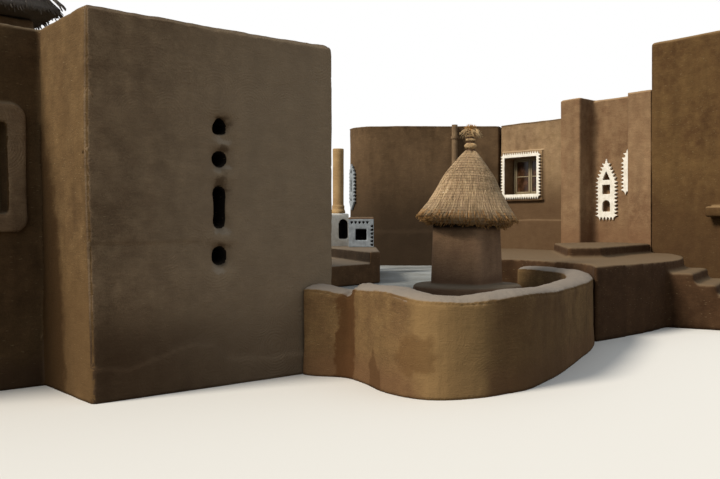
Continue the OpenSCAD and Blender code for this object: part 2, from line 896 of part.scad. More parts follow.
// The white dado wall runs from the left ranges to the gateway
module dado_wall() {
    color(whitewash) difference() {
        translate([front_l, pier_at[1], 0])
            mud_block([dado_end - front_l, pier_side, dado_z], [0, corner_r, corner_r, 0],
                [0, 0, dado_r, dado_r]);
        translate([pier_at[0] + pier_side / 2, pier_at[1], dado_z - arch_h - arch_drop])
            arched_niche(arch_w, arch_h, arch_d);
    }
}

// A round-headed recess that opens towards -Y, its sill at z = 0
module arched_niche(w, h, d) {
    translate([-w / 2, -cut, 0]) cube([w, d + cut, h - w / 2]);
    translate([0, -cut, h - w / 2]) rotate([-90, 0, 0]) cylinder(d = w, h = d + cut);
}

// The mouldings of the pier's foot: height and radius from the dado up to the shaft
moulding_h = [50, 50, 60];
moulding_in = [2, 30, 20, 36];

// The pier's moulded foot stands on the end of the dado wall
module gate_pier() {
    r = pier_side / 2;
    color(plaster_lit) translate([pier_at[0] + r, pier_at[1] + r, dado_z]) {
        cylinder(r = r - moulding_in[0], h = moulding_h[0]);
        translate([0, 0, moulding_h[0]])
            cylinder(r1 = r - moulding_in[0], r2 = r - moulding_in[1], h = moulding_h[1]);
        translate([0, 0, moulding_h[0] + moulding_h[1]])
            cylinder(r = r - moulding_in[2], h = moulding_h[2]);
        cylinder(r = r - moulding_in[3], h = pier_h);
    }
}

// Back range

module in_back_frame() {
    translate([each back_at, 0]) rotate(skew) children();
}

// Where the inner faces of the window wall and the back wall meet, along the back wall
mitre = (wall_t + sin(skew) * wall_t) / cos(skew);

module back_wall() {
    color(plaster) in_back_frame() linear_extrude(back_h)
        polygon([[-back_l, 0], [0, 0], [mitre, wall_t], [-back_l, wall_t]]);
}

module back_corner() {
    color(plaster) in_back_frame() translate([each corner_mid, 0])
        rotate(180) rotate_extrude(angle = 90)
        translate([back_r - wall_t, 0]) square([wall_t, back_h]);
}

module back_left_wall() {
    color(plaster) in_back_frame() translate([-back_l - back_r, back_r, 0])
        cube([wall_t, rear_d - back_r, back_h]);
}

// The rear wall runs from the left side wall to the outer wall of the right range
rear_inner_x = (right_d - wall_t + sin(skew) * (rear_d - wall_t)) / cos(skew);
rear_outer_x = (right_d + sin(skew) * rear_d) / cos(skew);
rear_door_at = 1900;

module rear_wall() {
    color(plaster) in_back_frame() difference() {
        linear_extrude(back_h) polygon([
            [wall_t - back_l - back_r, rear_d - wall_t], [rear_inner_x, rear_d - wall_t],
            [rear_outer_x, rear_d], [wall_t - back_l - back_r, rear_d]
        ]);
        translate([-rear_door_at, rear_d - wall_t - cut, -cut])
            cube([door_w, wall_t + 2 * cut, door_h + cut]);
    }
}

module tall_roof() {
    translate([right_x + wall_t, wall_t - right_front, tall_h - parapet_h])
        cube([right_d - 2 * wall_t, tall_y - 2 * wall_t + right_front, roof_t]);
}

module rear_roof() {
    translate([0, 0, back_h - parapet_h]) linear_extrude(roof_t)
        polygon(concat(
            [[right_x + wall_t, pilaster_y[1]], from_back(mitre, wall_t)],
            corner_arc(back_r - wall_t, 6),
            [
                from_back(wall_t - back_l - back_r, rear_d - wall_t),
                from_back(rear_inner_x, rear_d - wall_t),
                [outer_x - wall_t, tall_y], [recess_back, tall_y], [recess_back, pilaster_y[1]]
            ]
        ));
}

module right_roofs() {
    color(plaster) {
        rear_roof();
        tall_roof();
    }
}

module downpipe() {
    h = back_h - platform_z;
    color(clay) in_back_frame() translate([-pipe_at, -pipe_d / 2, platform_z]) difference() {
        union() {
            cylinder(d = pipe_d, h = h);
            translate([0, 0, h - collar_drop]) cylinder(d = pipe_d + 2 * collar_out, h = collar_h);
        }
        translate([0, 0, -cut]) cylinder(d = pipe_d - 2 * pipe_wall, h = h + 2 * cut);
    }
}

// White reliefs

// A row of teeth along +X from x = 0 to x = l, rooted a little below y = 0; gap is the share
// of the pitch that stays free on each side of a tooth
tooth_root = 1;
module teeth(l, n, tall, gap) {
    pitch = l / n;
    for (i = [0:n - 1])
        translate([i * pitch, -tooth_root])
            polygon([[pitch * gap, 0], [pitch * (1 - gap), 0], [pitch / 2, tall + tooth_root]]);
}

// Free share of the pitch beside each tooth of the window's border and of the reliefs
border_gap = 0.12;
spike_gap = 0.18;

// The white band stands on the raised plate round the window, its teeth pointing outwards
module window_border() {
    x = cwin_w / 2 + cwin_band;
    y = cwin_h / 2 + cwin_band;
    color(whitewash) translate([right_x - plate_out, cwin_y, cwin_z + cwin_h / 2])
        rotate([90, 0, -90]) linear_extrude(band_proud) union() {
            difference() {
                square([2 * x, 2 * y], center = true);
                square([cwin_w, cwin_h], center = true);
            }
            for (side = [-1, 1]) {
                scale([1, side]) translate([-x, y])
                    teeth(2 * x, teeth_wide, tooth_l, border_gap);
                scale([side, 1]) rotate(-90) translate([-y, x])
                    teeth(2 * y, teeth_tall, tooth_l, border_gap);
            }
        }
}

// A pointed relief, its foot on y = 0, with a tooth on its tip; the counts run up a side,
// along a slope and over the foot
slope_share = 0.86;
module pointed_outline(w, h, point, counts, tall) {
    slope = norm([w / 2, point]);
    polygon([[-w / 2, 0], [-w / 2, h], [0, h + point], [w / 2, h], [w / 2, 0]]);
    for (side = [-1, 1]) scale([side, 1]) {
        translate([-w / 2, 0]) rotate(90) teeth(h, counts[0], tall, spike_gap);
        translate([-w / 2, h]) rotate(atan2(point, w / 2))
            teeth(slope * slope_share, counts[1], tall, spike_gap);
    }
    translate([w / 2, 0]) rotate(180) teeth(w, counts[2], tall, spike_gap);
    translate([-tall / 2, h + point - tall / 2]) teeth(tall, 1, tall, spike_gap);
}

// The three niches of the relief: a triangle over a square over an arch
module niche_shapes() {
    w = niche_w;
    translate([-w / 2, arch_sill]) square([w, arch_rise - w / 2]);
    translate([0, arch_sill + arch_rise - w / 2]) circle(w / 2);
    translate([-w / 2, square_sill]) square([w, square_rise]);
    translate([0, point_sill]) polygon([[-w / 2, 0], [w / 2, 0], [0, point_rise]]);
}

// Stands a flat shape on the face of the relief wall, y from the origin's line, z from the ground
module on_relief_wall(y, z) {
    translate([recess_x, y, z]) rotate([90, 0, -90]) linear_extrude(relief_proud) children();
}

panel_y = pilaster_y[0] - panel_gap;
narrow_y = relief_pier_y[1] + narrow_gap + spike_l + narrow_w / 2;

// The plaster that rounds the corner between the pilaster and the recess
module recess_fillet() {
    translate([recess_x, pilaster_y[0], bench_z]) rotate(180)
        linear_extrude(relief_h - crest_r - bench_z) difference() {
            square(recess_r);
            translate([recess_r, recess_r]) circle(recess_r);
        }
}

// The openings of the tall relief: half-width, foot and height of the two triangles and the slot
curved_top = [45, curved_point + curved_h - 40, 145];
curved_slot = [30, curved_point + curved_h / 2 - 110, 280];
curved_foot = [45, curved_point + 60, 70];

module triangle(shape) {
    polygon([[-shape[0], shape[1]], [shape[0], shape[1]], [0, shape[1] + shape[2]]]);
}

// The tall relief with a point at each end follows the round of the back corner
module curved_outline() {
    x = curved_w / 2;
    y = curved_point;
    difference() {
        union() {
            translate([0, y]) pointed_outline(curved_w, curved_h, y, [9, 2, 1], curved_spike);
            polygon([[-x, y + 1], [x, y + 1], [0, 0]]);
        }
        triangle(curved_top);
        translate([-curved_slot[0], curved_slot[1]]) square([2 * curved_slot[0], curved_slot[2]]);
        triangle(curved_foot);
    }
}

module corner_relief() {
    $fn = 160;
    tall = curved_h + 2 * curved_point + 2 * curved_spike;
    in_back_frame() translate([each corner_mid, curved_z]) intersection() {
        translate([0, 0, -curved_spike]) difference() {
            cylinder(r = back_r + relief_proud, h = tall);
            translate([0, 0, -cut]) cylinder(r = back_r, h = tall + 2 * cut);
        }
        rotate(curved_turn) translate([back_r / 2, 0, 0]) rotate([90, 0, 90])
            linear_extrude(back_r) curved_outline();
    }
}

module relief_panels() {
    color(whitewash) {
        difference() {
            on_relief_wall(panel_y, panel_z) difference() {
                pointed_outline(panel_w, panel_h, panel_point, [10, 5, 5], spike_l);
                niche_shapes();
            }
            recess_fillet();
        }
        on_relief_wall(narrow_y, narrow_z)
            pointed_outline(narrow_w, narrow_h, narrow_point, [8, 2, 2], spike_l);
        corner_relief();
    }
}

// Window wall, pilaster and relief wall

cwin_y = 5025;

module window_wall() {
    rim = cwin_band + tooth_l + plate_rim;
    color(plaster) difference() {
        union() {
            linear_extrude(back_h) polygon([
                [right_x, pilaster_y[1]], [right_x + wall_t, pilaster_y[1]],
                from_back(mitre, wall_t), back_at
            ]);
            translate([right_x - plate_out, cwin_y - cwin_w / 2 - rim, cwin_z - rim])
                cube([plate_out + cut, cwin_w + 2 * rim, cwin_h + 2 * rim]);
        }
        translate([right_x - plate_out - cut, cwin_y - cwin_w / 2, cwin_z])
            cube([wall_t + plate_out + 2 * cut, cwin_w, cwin_h]);
    }
}

module court_window() {
    color(timber) translate([right_x + sash_set, cwin_y + cwin_w / 2, cwin_z])
        rotate(-90) translate([0, sash_d, 0]) casement(cwin_w, cwin_h);
}

module pilaster() {
    color(plaster) translate([pilaster_x, pilaster_y[0], 0])
        mud_block([recess_back - pilaster_x, pilaster_y[1] - pilaster_y[0], relief_h],
            [corner_r, 0, 0, corner_r], [crest_r, crest_r, 0, crest_r]);
}

module relief_wall() {
    length = pilaster_y[0] - relief_pier_y[1];
    color(plaster) difference() {
        translate([recess_x, relief_pier_y[1], 0])
            mud_block([wall_t, length, relief_h], [0, 0, 0, 0], [crest_r, crest_r, 0, 0]);
        translate([recess_x, panel_y, panel_z]) rotate([90, 0, -90])
            translate([0, 0, -niche_d]) linear_extrude(niche_d + cut) niche_shapes();
    }
    color(plaster) recess_fillet();
}

module relief_pier() {
    color(plaster) translate([right_x, relief_pier_y[0], 0])
        mud_block([recess_back - right_x, relief_pier_y[1] - relief_pier_y[0], relief_h],
            [0, 0, 0, corner_r], [crest_r, crest_r, 0, 0]);
}

// Tall block on the right

ledge_y = 80;

module tall_court_wall() {
    color(plaster) {
        translate([right_x, -right_front, 0])
            mud_block([wall_t, tall_y + right_front, tall_h], [corner_r, 0, 0, 0],
                [crest_r, crest_r, crest_r, 0]);
        translate([right_x - ledge_out, ledge_y, ledge_z]) cube([ledge_out, ledge_l, ledge_h]);
    }
}

module tall_front_wall() {
    color(plaster) translate([right_x + wall_t, -right_front, 0])
        mud_block([right_d - wall_t, wall_t, tall_h], [0, corner_r, 0, 0],
            [0, crest_r, crest_r, crest_r]);
}

module right_outer_wall() {
    color(plaster) {
        translate([outer_x - wall_t, wall_t - right_front, 0])
            mud_block([wall_t, tall_y - wall_t + right_front, tall_h], [0, 0, 0, 0],
                [crest_r, crest_r, 0, crest_r]);
        linear_extrude(back_h) polygon([
            [outer_x - wall_t, tall_y], [outer_x, tall_y],
            from_back(rear_outer_x, rear_d), from_back(rear_inner_x, rear_d - wall_t)
        ]);
    }
}

module tall_cross_wall() {
    length = right_d - 2 * wall_t;
    color(plaster) difference() {
        translate([right_x + wall_t, tall_y - wall_t, 0])
            mud_block([length, wall_t, tall_h], [0, 0, 0, 0], [0, 0, crest_r, crest_r]);
        translate([right_x + wall_t + (length - door_w) / 2, tall_y - wall_t - cut, -cut])
            cube([door_w, wall_t + 2 * cut, door_h + cut]);
    }
}

house_frame() front_wall();
house_frame() left_return();
house_frame() left_wing_wall();
house_frame() left_window_border();
house_frame() left_window();
house_frame() left_outer_wall();
house_frame() court_side_wall();
house_frame() left_rear_wall();
house_frame() left_roof();
house_frame() hut_front_wall();
house_frame() hut_right_wall();
house_frame() hut_thatch();
house_frame() low_wall_stub();
house_frame() low_wall_bend();
house_frame() low_wall_front();
house_frame() low_wall_end();
house_frame() court_floor();
house_frame() granary_plinth();
house_frame() granary_body();
house_frame() granary_thatch();
house_frame() granary_knot();
house_frame() mud_bench();
house_frame() niche_block();
house_frame() dado_wall();
house_frame() gate_pier();
house_frame() back_wall();
house_frame() back_corner();
house_frame() back_left_wall();
house_frame() rear_wall();
house_frame() right_roofs();
house_frame() downpipe();
house_frame() window_wall();
house_frame() window_border();
house_frame() court_window();
house_frame() pilaster();
house_frame() relief_wall();
house_frame() relief_pier();
house_frame() relief_panels();
house_frame() tall_court_wall();
house_frame() tall_front_wall();
house_frame() right_outer_wall();
house_frame() tall_cross_wall();
house_frame() platform();
house_frame() platform_bench();
house_frame() entrance_steps();
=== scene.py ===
import math
import random

import bmesh
import bpy
from mathutils import Matrix, Vector, noise


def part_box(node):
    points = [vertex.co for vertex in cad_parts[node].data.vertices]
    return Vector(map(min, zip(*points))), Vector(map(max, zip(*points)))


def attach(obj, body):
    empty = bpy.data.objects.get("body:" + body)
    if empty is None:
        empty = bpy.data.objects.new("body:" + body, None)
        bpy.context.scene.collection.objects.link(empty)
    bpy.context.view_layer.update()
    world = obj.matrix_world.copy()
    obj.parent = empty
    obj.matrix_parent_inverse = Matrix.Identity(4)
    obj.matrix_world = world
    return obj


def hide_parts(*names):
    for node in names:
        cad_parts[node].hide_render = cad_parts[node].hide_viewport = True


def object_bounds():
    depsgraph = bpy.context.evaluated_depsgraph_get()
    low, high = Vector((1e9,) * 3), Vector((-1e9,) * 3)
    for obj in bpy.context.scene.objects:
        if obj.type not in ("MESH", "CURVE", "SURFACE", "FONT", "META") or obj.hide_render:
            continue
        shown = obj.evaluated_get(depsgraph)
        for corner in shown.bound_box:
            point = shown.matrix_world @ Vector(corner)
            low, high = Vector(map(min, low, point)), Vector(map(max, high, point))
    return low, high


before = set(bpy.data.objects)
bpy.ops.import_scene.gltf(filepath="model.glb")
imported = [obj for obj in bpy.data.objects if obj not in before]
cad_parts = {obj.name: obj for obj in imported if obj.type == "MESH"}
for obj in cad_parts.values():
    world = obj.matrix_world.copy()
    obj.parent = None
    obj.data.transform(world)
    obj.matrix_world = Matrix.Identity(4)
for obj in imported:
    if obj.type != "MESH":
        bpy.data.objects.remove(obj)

bl_info = {
    "name": "Adobe courtyard house",
    "version": (1, 0, 0),
    "blender": (4, 5, 0),
    "location": "3D View > Sidebar > Adobe house",
    "description": "Finishes the plaster, thatch, white reliefs and timber of a courtyard house",
    "category": "Object",
}

# Lengths are in metres and stand in the house's own axes

CAD_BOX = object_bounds()

# Walls that share one coat of plaster, so that their joints vanish under it
FRONT_WALLS = ("front_wall", "left_return", "left_wing_wall", "left_window_border")
LEFT_WALLS = (
    "court_side_wall", "left_outer_wall", "left_rear_wall", "hut_front_wall", "hut_right_wall",
)
BACK_WALLS = ("back_wall", "back_corner", "back_left_wall", "rear_wall")
RIGHT_WALLS = (
    "right_outer_wall", "tall_front_wall", "tall_court_wall", "tall_cross_wall",
)
RECESS_WALLS = ("relief_wall", "pilaster", "relief_pier")
LOW_WALLS = ("low_wall_stub", "low_wall_bend", "low_wall_front", "low_wall_end")
PLATFORMS = ("platform", "platform_bench", "entrance_steps")

# The angle between the front wall and the back wall, and between the view and the Y axis
SKEW = math.radians(-40.4)

# The granary's thatch leans over the middle of the body's top, as in the CAD source
CAP_LEAN = math.radians(3.0)
CAP_SINK = 0.024

# The front wall's outer face along y, and the middle of its peepholes along x
FRONT_FACE = -0.2
PEEPHOLE_X = 1.11
# Foot, head and half-width of each peephole, and how much wider the hand has worn it
PEEPHOLES = ((2.39, 2.56, 0.055, 0.010), (2.115, 2.26, 0.072, -0.008),
             (1.50, 1.95, 0.055, 0.003), (1.19, 1.335, 0.072, -0.004))

# How a bmesh's vertices are rubbed towards their neighbours
RUB = {"factor": 0.5, "use_axis_x": True, "use_axis_y": True, "use_axis_z": True}


# Small tools

def clamp(value, low=0.0, high=1.0):
    """The value, held between two others."""
    return max(low, min(high, value))


def on_line(line, x):
    """The height of a broken line at x."""
    for (x0, z0), (x1, z1) in zip(line, line[1:]):
        if x0 <= x <= x1:
            return z0 + (z1 - z0) * (x - x0) / (x1 - x0)
    return line[0][1] if x < line[0][0] else line[-1][1]


def field(point, size, seed):
    """Smooth noise from -1 to 1 whose lumps are about so many metres across."""
    return noise.noise(Vector((point.x / size + seed, point.y / size - seed, point.z / size)))


def smear(point, amount):
    """Depth of the hollows that hands leave in a coat of mud."""
    depth = 0.1 + 0.45 * field(point, 0.85, 3.1) + 0.3 * field(point, 0.3, 7.7)
    depth += 0.14 * field(point, 0.11, 1.3)
    return amount * depth


def middle_of(low, high, height):
    """The point over the middle of a box's plan at a height."""
    return Vector(((low[0] + high[0]) / 2, (low[1] + high[1]) / 2, height))


def cap_place():
    """Where the leaning thatch stands: its own upright axes to the house's."""
    low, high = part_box("granary_body")
    return (Matrix.Translation(middle_of(low, high, high[2] - CAP_SINK))
            @ Matrix.Rotation(SKEW, 4, "Z") @ Matrix.Rotation(CAP_LEAN, 4, "Y"))


def copy_of(names):
    """One bmesh with copies of CAD nodes, their loose triangles merged."""
    bm = bmesh.new()
    for name in names:
        bm.from_mesh(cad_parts[name].data)
    bmesh.ops.remove_doubles(bm, verts=bm.verts, dist=0.00005)
    return bm


def mesh_of(bm, name):
    """A mesh made from a bmesh, which is then freed."""
    mesh = bpy.data.meshes.new(name)
    bm.to_mesh(mesh)
    bm.free()
    return mesh


def shade_smooth(bm):
    """Lets every face shade into its neighbours."""
    for face in bm.faces:
        face.smooth = True


def make_piece(name, mesh, finish, nodes=()):
    """Makes a mesh a finished piece that rides on the house in place of some nodes."""
    mesh.name = name
    mesh.materials.clear()
    mesh.materials.append(finish_of(finish))
    piece = bpy.data.objects.new(name, mesh)
    bpy.context.scene.collection.objects.link(piece)
    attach(piece, "root")
    if nodes:
        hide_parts(*nodes)


def applied(mesh, kind, settings, levels=None):
    """The mesh after one modifier. The levels give some lists of vertices their weights."""
    helper = bpy.data.objects.new("helper", mesh)
    bpy.context.scene.collection.objects.link(helper)
    modifier = helper.modifiers.new(kind, kind)
    if levels:
        group = helper.vertex_groups.new(name="kept")
        for level, members in levels.items():
            group.add(members, level, "REPLACE")
        modifier.vertex_group = group.name
    for name, value in settings.items():
        setattr(modifier, name, value)
    bpy.context.view_layer.update()
    result = bpy.data.meshes.new_from_object(
        helper.evaluated_get(bpy.context.evaluated_depsgraph_get()))
    bpy.data.objects.remove(helper)
    return result


def mud_skin(name, nodes, finish, grain, faces, amount, detail=None,
             weight=None, shape=None, others=(), soft=None):
    """A coat of plaster over some nodes: one soft closed skin, pressed in here and there.
    The grain is the size of its facets before they are thinned, and the amount the depth of
    its hollows. The detail gives more depth, the weight what thinning spares, the shape a
    larger move, the others are tests of a face's middle and normal with the finish of such
    faces, and soft is a test of a place that is rubbed round."""
    remesh = {"mode": "VOXEL", "voxel_size": grain, "use_smooth_shade": True}
    bm = bmesh.new()
    bm.from_mesh(applied(mesh_of(copy_of(nodes), name), "REMESH", remesh))
    bmesh.ops.smooth_vert(bm, verts=bm.verts, **RUB)
    bm.normal_update()
    # Facets by the ground stay flat on it
    ground = 1.2 * grain
    moves = []
    for vert in bm.verts:
        depth = smear(vert.co, amount)
        if detail:
            depth += detail(vert.co, vert.normal)
        move = -depth * vert.normal
        if shape:
            move += shape(vert.co)
        if vert.co.z < ground:
            move.z = -vert.co.z
        moves.append(move)
    for vert, move in zip(bm.verts, moves):
        vert.co += move
        for k in range(3):
            vert.co[k] = clamp(vert.co[k], CAD_BOX[0][k], CAD_BOX[1][k])
    if soft:
        rubbed = [vert for vert in bm.verts if soft(vert.co)]
        for i in range(6):
            bmesh.ops.smooth_vert(bm, verts=rubbed, **RUB)
    mesh = bpy.data.meshes.new(name)
    bm.to_mesh(mesh)
    share = faces / (2 * len(bm.faces))
    levels = {}
    if weight:
        for vert in bm.verts:
            levels.setdefault(weight(vert.co, vert.normal), []).append(vert.index)
    bm.free()
    if share < 1.0:
        thin = {"ratio": share}
        if weight:
            thin.update(vertex_group_factor=1.0, invert_vertex_group=True)
        mesh = applied(mesh, "DECIMATE", thin, levels)
    make_piece(name, mesh, finish, nodes)
    for test, other in others:
        mesh.materials.append(finish_of(other))
    for polygon in mesh.polygons:
        polygon.use_smooth = True
        for index, (test, other) in enumerate(others):
            if test(polygon.center, polygon.normal):
                polygon.material_index = index + 1
                break


# Materials

# Roughness of clean old glass, and its index of refraction under a film of dust
GLASS_ROUGHNESS = 0.12
GLASS_IOR = 1.38


def linear(text):
    """The linear colour of an sRGB hex value such as 7A623A."""
    values = [int(text[i:i + 2], 16) / 255 for i in (0, 2, 4)]
    return [v / 12.92 if v <= 0.04045 else ((v + 0.055) / 1.055) ** 2.4 for v in values] + [1.0]


def add(tree, kind, inputs=None, **settings):
    """Adds one shader node with its settings, its values and its links."""
    node = tree.nodes.new("ShaderNode" + kind)
    for name, value in settings.items():
        setattr(node, name, value)
    for key, value in (inputs or {}).items():
        if isinstance(value, bpy.types.NodeSocket):
            tree.links.new(value, node.inputs[key])
        else:
            node.inputs[key].default_value = value
    return node


def new_material(name, roughness, specular):
    """A material with its shader and the object coordinates that its patterns read."""
    material = bpy.data.materials.new(name)
    material.use_nodes = True
    tree = material.node_tree
    shader = tree.nodes["Principled BSDF"]
    shader.inputs["Roughness"].default_value = roughness
    shader.inputs["Specular IOR Level"].default_value = specular
    return material, tree, shader, add(tree, "TexCoord").outputs["Object"]


def tinted(tree, colour, value, low, high, share, tint, **settings):
    """Lays a tint over a colour as a value runs from low to high, there up to its share.
    The tints are stains and dust, and painted light and painted shade too.
    """
    near = add(tree, "MapRange", {"Value": value, "From Min": low, "From Max": high,
                                  "To Max": share}, **settings)
    return add(tree, "Mix", {0: near.outputs["Result"], 6: colour, 7: linear(tint)},
               data_type="RGBA").outputs[2]


def toned(tree, colour, value, low, high, first, last):
    """Makes a colour darker or lighter, by first to last, as a value runs from low to high."""
    tone = add(tree, "MapRange", {"Value": value, "From Min": low, "From Max": high,
                                  "To Min": first, "To Max": last})
    return add(tree, "VectorMath", {0: colour, 3: tone.outputs["Result"]},
               operation="SCALE").outputs["Vector"]


def surfaced(tree, shader, colour, *layers):
    """Feeds the shader a colour and a relief of layers: a value and its height in metres."""
    height = 0.0
    for value, metres in layers:
        height = add(tree, "Math", {0: value, 1: metres, 2: height},
                     operation="MULTIPLY_ADD").outputs["Value"]
    bump = add(tree, "Bump", {"Height": height, "Distance": 1.0, "Strength": 1.0})
    tree.links.new(colour, shader.inputs["Base Color"])
    tree.links.new(bump.outputs["Normal"], shader.inputs["Normal"])


def straw_flecks(tree, point, turn, cell, seed):
    """Chopped straw in the mud: short pale strokes, cell metres apart."""
    turned = add(tree, "Mapping", {
        "Vector": point, "Rotation": turn, "Location": (seed, seed, seed),
        "Scale": (1 / cell, 1 / cell, 7 / cell),
    })
    cells = add(tree, "TexVoronoi", {"Vector": turned.outputs["Vector"], "Scale": 1.0})
    near = add(tree, "MapRange", {
        "Value": cells.outputs["Distance"], "From Min": 0.16, "From Max": 0.08})
    parts = add(tree, "SeparateColor", {"Color": cells.outputs["Color"]})
    # About three cells in ten hold a straw
    some = add(tree, "Math", {0: parts.outputs["Red"], 1: 0.72}, operation="GREATER_THAN")
    return add(tree, "Math", {0: near.outputs["Result"], 1: some.outputs["Value"]},
               operation="MULTIPLY").outputs["Value"]


def mud_plaster(name, light, middle, dark, crest, foot, foot_top=0.22, relief=1.0,
                foot_run=0.28, foot_share=0.6, ridges=1.0, eaves=None, patches=()):
    """Adobe plaster of clay, sand and chopped straw, smeared on by hand in arcs: dead matt,
    mottled, with the sweep of the fingers, pale straw flecks, a top lighter with pale dust and
    painted light, a foot darker towards the bottom, patches of painted light, painted shade and
    stain, and painted shade under the eaves.
    Its sand is finer than a pixel, so the grain is drawn 10 mm coarse."""
    material, tree, shader, point = new_material(name, 0.95, 0.12)
    broad = add(tree, "TexNoise", {"Vector": point, "Scale": 0.9, "Detail": 4.0, "Roughness": 0.6})
    patch = add(tree, "TexNoise", {"Vector": point, "Scale": 5.0, "Detail": 6.0, "Roughness": 0.6})
    grain = add(tree, "TexNoise", {"Vector": point, "Scale": 95.0, "Detail": 3.0})
    # Finger strokes 125 mm long and 26 mm apart
    drawn = add(tree, "Mapping", {"Vector": point, "Rotation": (0.5, 0.35, 0.0),
                                  "Scale": (5.0, 5.0, 24.0)})
    sweep = add(tree, "TexNoise", {"Vector": drawn.outputs["Vector"], "Scale": 1.6, "Detail": 5.0,
                                   "Distortion": 1.2})
    # Rain streaks 0.2 m wide that run down over 1.2 m
    hung = add(tree, "Mapping", {"Vector": point, "Scale": (5.0, 5.0, 0.8)})
    streak = add(tree, "TexNoise", {"Vector": hung.outputs["Vector"], "Scale": 1.0, "Detail": 5.0})
    # Arcs of the hand round centres about 0.4 m apart, a finger's width between them
    pushed = add(tree, "VectorMath", {0: patch.outputs["Color"], 3: 0.05}, operation="SCALE")
    bent = add(tree, "VectorMath", {0: point, 1: pushed.outputs["Vector"]}, operation="ADD")
    arcs = add(tree, "TexVoronoi", {"Vector": bent.outputs["Vector"], "Scale": 2.3})
    phase = add(tree, "Math", {0: arcs.outputs["Distance"], 1: 105.0}, operation="MULTIPLY")
    rings = add(tree, "Math", {0: phase.outputs["Value"]}, operation="SINE")
    where = add(tree, "MapRange", {"Value": broad.outputs["Fac"], "From Min": 0.48,
                                   "From Max": 0.62})
    ringed = add(tree, "Math", {0: rings.outputs["Value"], 1: where.outputs["Result"]},
                 operation="MULTIPLY")
    # Colour from the broad tone down to the grain
    colour = tinted(tree, linear(dark), broad.outputs["Fac"], 0.35, 0.66, 1.0, middle)
    colour = tinted(tree, colour, patch.outputs["Fac"], 0.4, 0.72, 0.6, light)
    for source, low, high, strength in (
            (sweep, 0.3, 0.7, 0.11), (streak, 0.3, 0.7, 0.12), (grain, 0.25, 0.75, 0.20)):
        colour = toned(tree, colour, source.outputs["Fac"], low, high, 1 - strength, 1 + strength)
    # Straw
    flecks = add(tree, "Math", {
        0: straw_flecks(tree, point, (0.6, 0.3, 0.5), 0.10, 0.0),
        1: straw_flecks(tree, point, (2.1, 0.9, 1.4), 0.13, 4.2)}, operation="ADD")
    colour = tinted(tree, colour, flecks.outputs["Value"], 0.0, 2.0, 0.8, "A08E6A")
    # The foot darkens towards the bottom, its edge rising and falling with the patches; on the back
    # wall and the window wall it is painted shade
    parts = add(tree, "SeparateXYZ", {0: point})
    rise = add(tree, "Math", {0: patch.outputs["Fac"], 1: -0.35, 2: parts.outputs["Z"]},
               operation="MULTIPLY_ADD")
    colour = tinted(tree, colour, rise.outputs["Value"], foot_top, foot_top - foot_run,
                     foot_share, foot, interpolation_type="SMOOTHSTEP")
    # Patches of painted light, painted shade and stain, ragged at the edge: middle and reach in
    # metres, colour, share and softness
    shake = 0.3
    shaken = add(tree, "VectorMath", {0: patch.outputs["Color"], 3: shake},
                 operation="SCALE")
    ragged = add(tree, "VectorMath", {0: point, 1: shaken.outputs["Vector"]}, operation="ADD")
    for middle, reach, tint, share, edge in patches:
        # The shaking moves a place by half of itself on average
        off = add(tree, "VectorMath", {0: ragged.outputs["Vector"],
                                       1: [place + shake / 2 for place in middle]},
                  operation="SUBTRACT")
        off = add(tree, "VectorMath", {0: off.outputs["Vector"], 1: reach}, operation="DIVIDE")
        off = add(tree, "VectorMath", {0: off.outputs["Vector"]}, operation="LENGTH")
        colour = tinted(tree, colour, off.outputs["Value"], 1.0 + edge, 1.0 - edge, share,
                         tint, interpolation_type="SMOOTHSTEP")
    # Pale dust and painted light on what faces up, and painted shade under the eaves
    facing = add(tree, "SeparateXYZ", {0: add(tree, "NewGeometry").outputs["Normal"]})
    colour = tinted(tree, colour, facing.outputs["Z"], 0.35, 0.85, 0.8, crest)
    # Painted shade under the eaves: darker over the 60 mm below their height
    if eaves:
        colour = tinted(tree, colour, parts.outputs["Z"], eaves - 0.06, eaves, 0.95, "140E09")
    surfaced(tree, shader, colour,
             (ringed.outputs["Value"], 0.0004 * ridges * relief),
             (sweep.outputs["Fac"], 0.0022 * relief), (patch.outputs["Fac"], 0.008 * relief),
             (grain.outputs["Fac"], 0.0022 * relief), (flecks.outputs["Value"], 0.0012 * relief))
    return material


def court_earth(name):
    """Court floor of trodden earth washed with dung slurry: matt grey-beige, wiped in broad
    overlapping fans, darker where the wash is worn. Its grit is drawn 8 mm coarse."""
    material, tree, shader, point = new_material(name, 0.9, 0.15)
    broad = add(tree, "TexNoise", {"Vector": point, "Scale": 0.7, "Detail": 5.0, "Roughness": 0.6})
    patch = add(tree, "TexNoise", {"Vector": point, "Scale": 6.0, "Detail": 6.0, "Roughness": 0.65})
    grain = add(tree, "TexNoise", {"Vector": point, "Scale": 120.0, "Detail": 3.0})
    # Fans of the wiping hand, about 0.5 m across
    arcs = add(tree, "TexVoronoi", {"Vector": point, "Scale": 1.9})
    phase = add(tree, "Math", {0: arcs.outputs["Distance"], 1: 85.0}, operation="MULTIPLY")
    rings = add(tree, "Math", {0: phase.outputs["Value"]}, operation="SINE")
    colour = tinted(tree, linear("797A76"), broad.outputs["Fac"], 0.36, 0.64, 1.0, "969998")
    colour = tinted(tree, colour, patch.outputs["Fac"], 0.5, 0.75, 0.5, "70685A")
    # Upright faces are mud plaster like the walls
    facing = add(tree, "SeparateXYZ", {0: add(tree, "NewGeometry").outputs["Normal"]})
    colour = tinted(tree, colour, facing.outputs["Z"], 0.8, 0.4, 1.0, "745B3F")
    colour = toned(tree, colour, grain.outputs["Fac"], 0.3, 0.7, 0.88, 1.12)
    surfaced(tree, shader, colour, (rings.outputs["Value"], 0.0007),
             (patch.outputs["Fac"], 0.01), (grain.outputs["Fac"], 0.002))
    return material


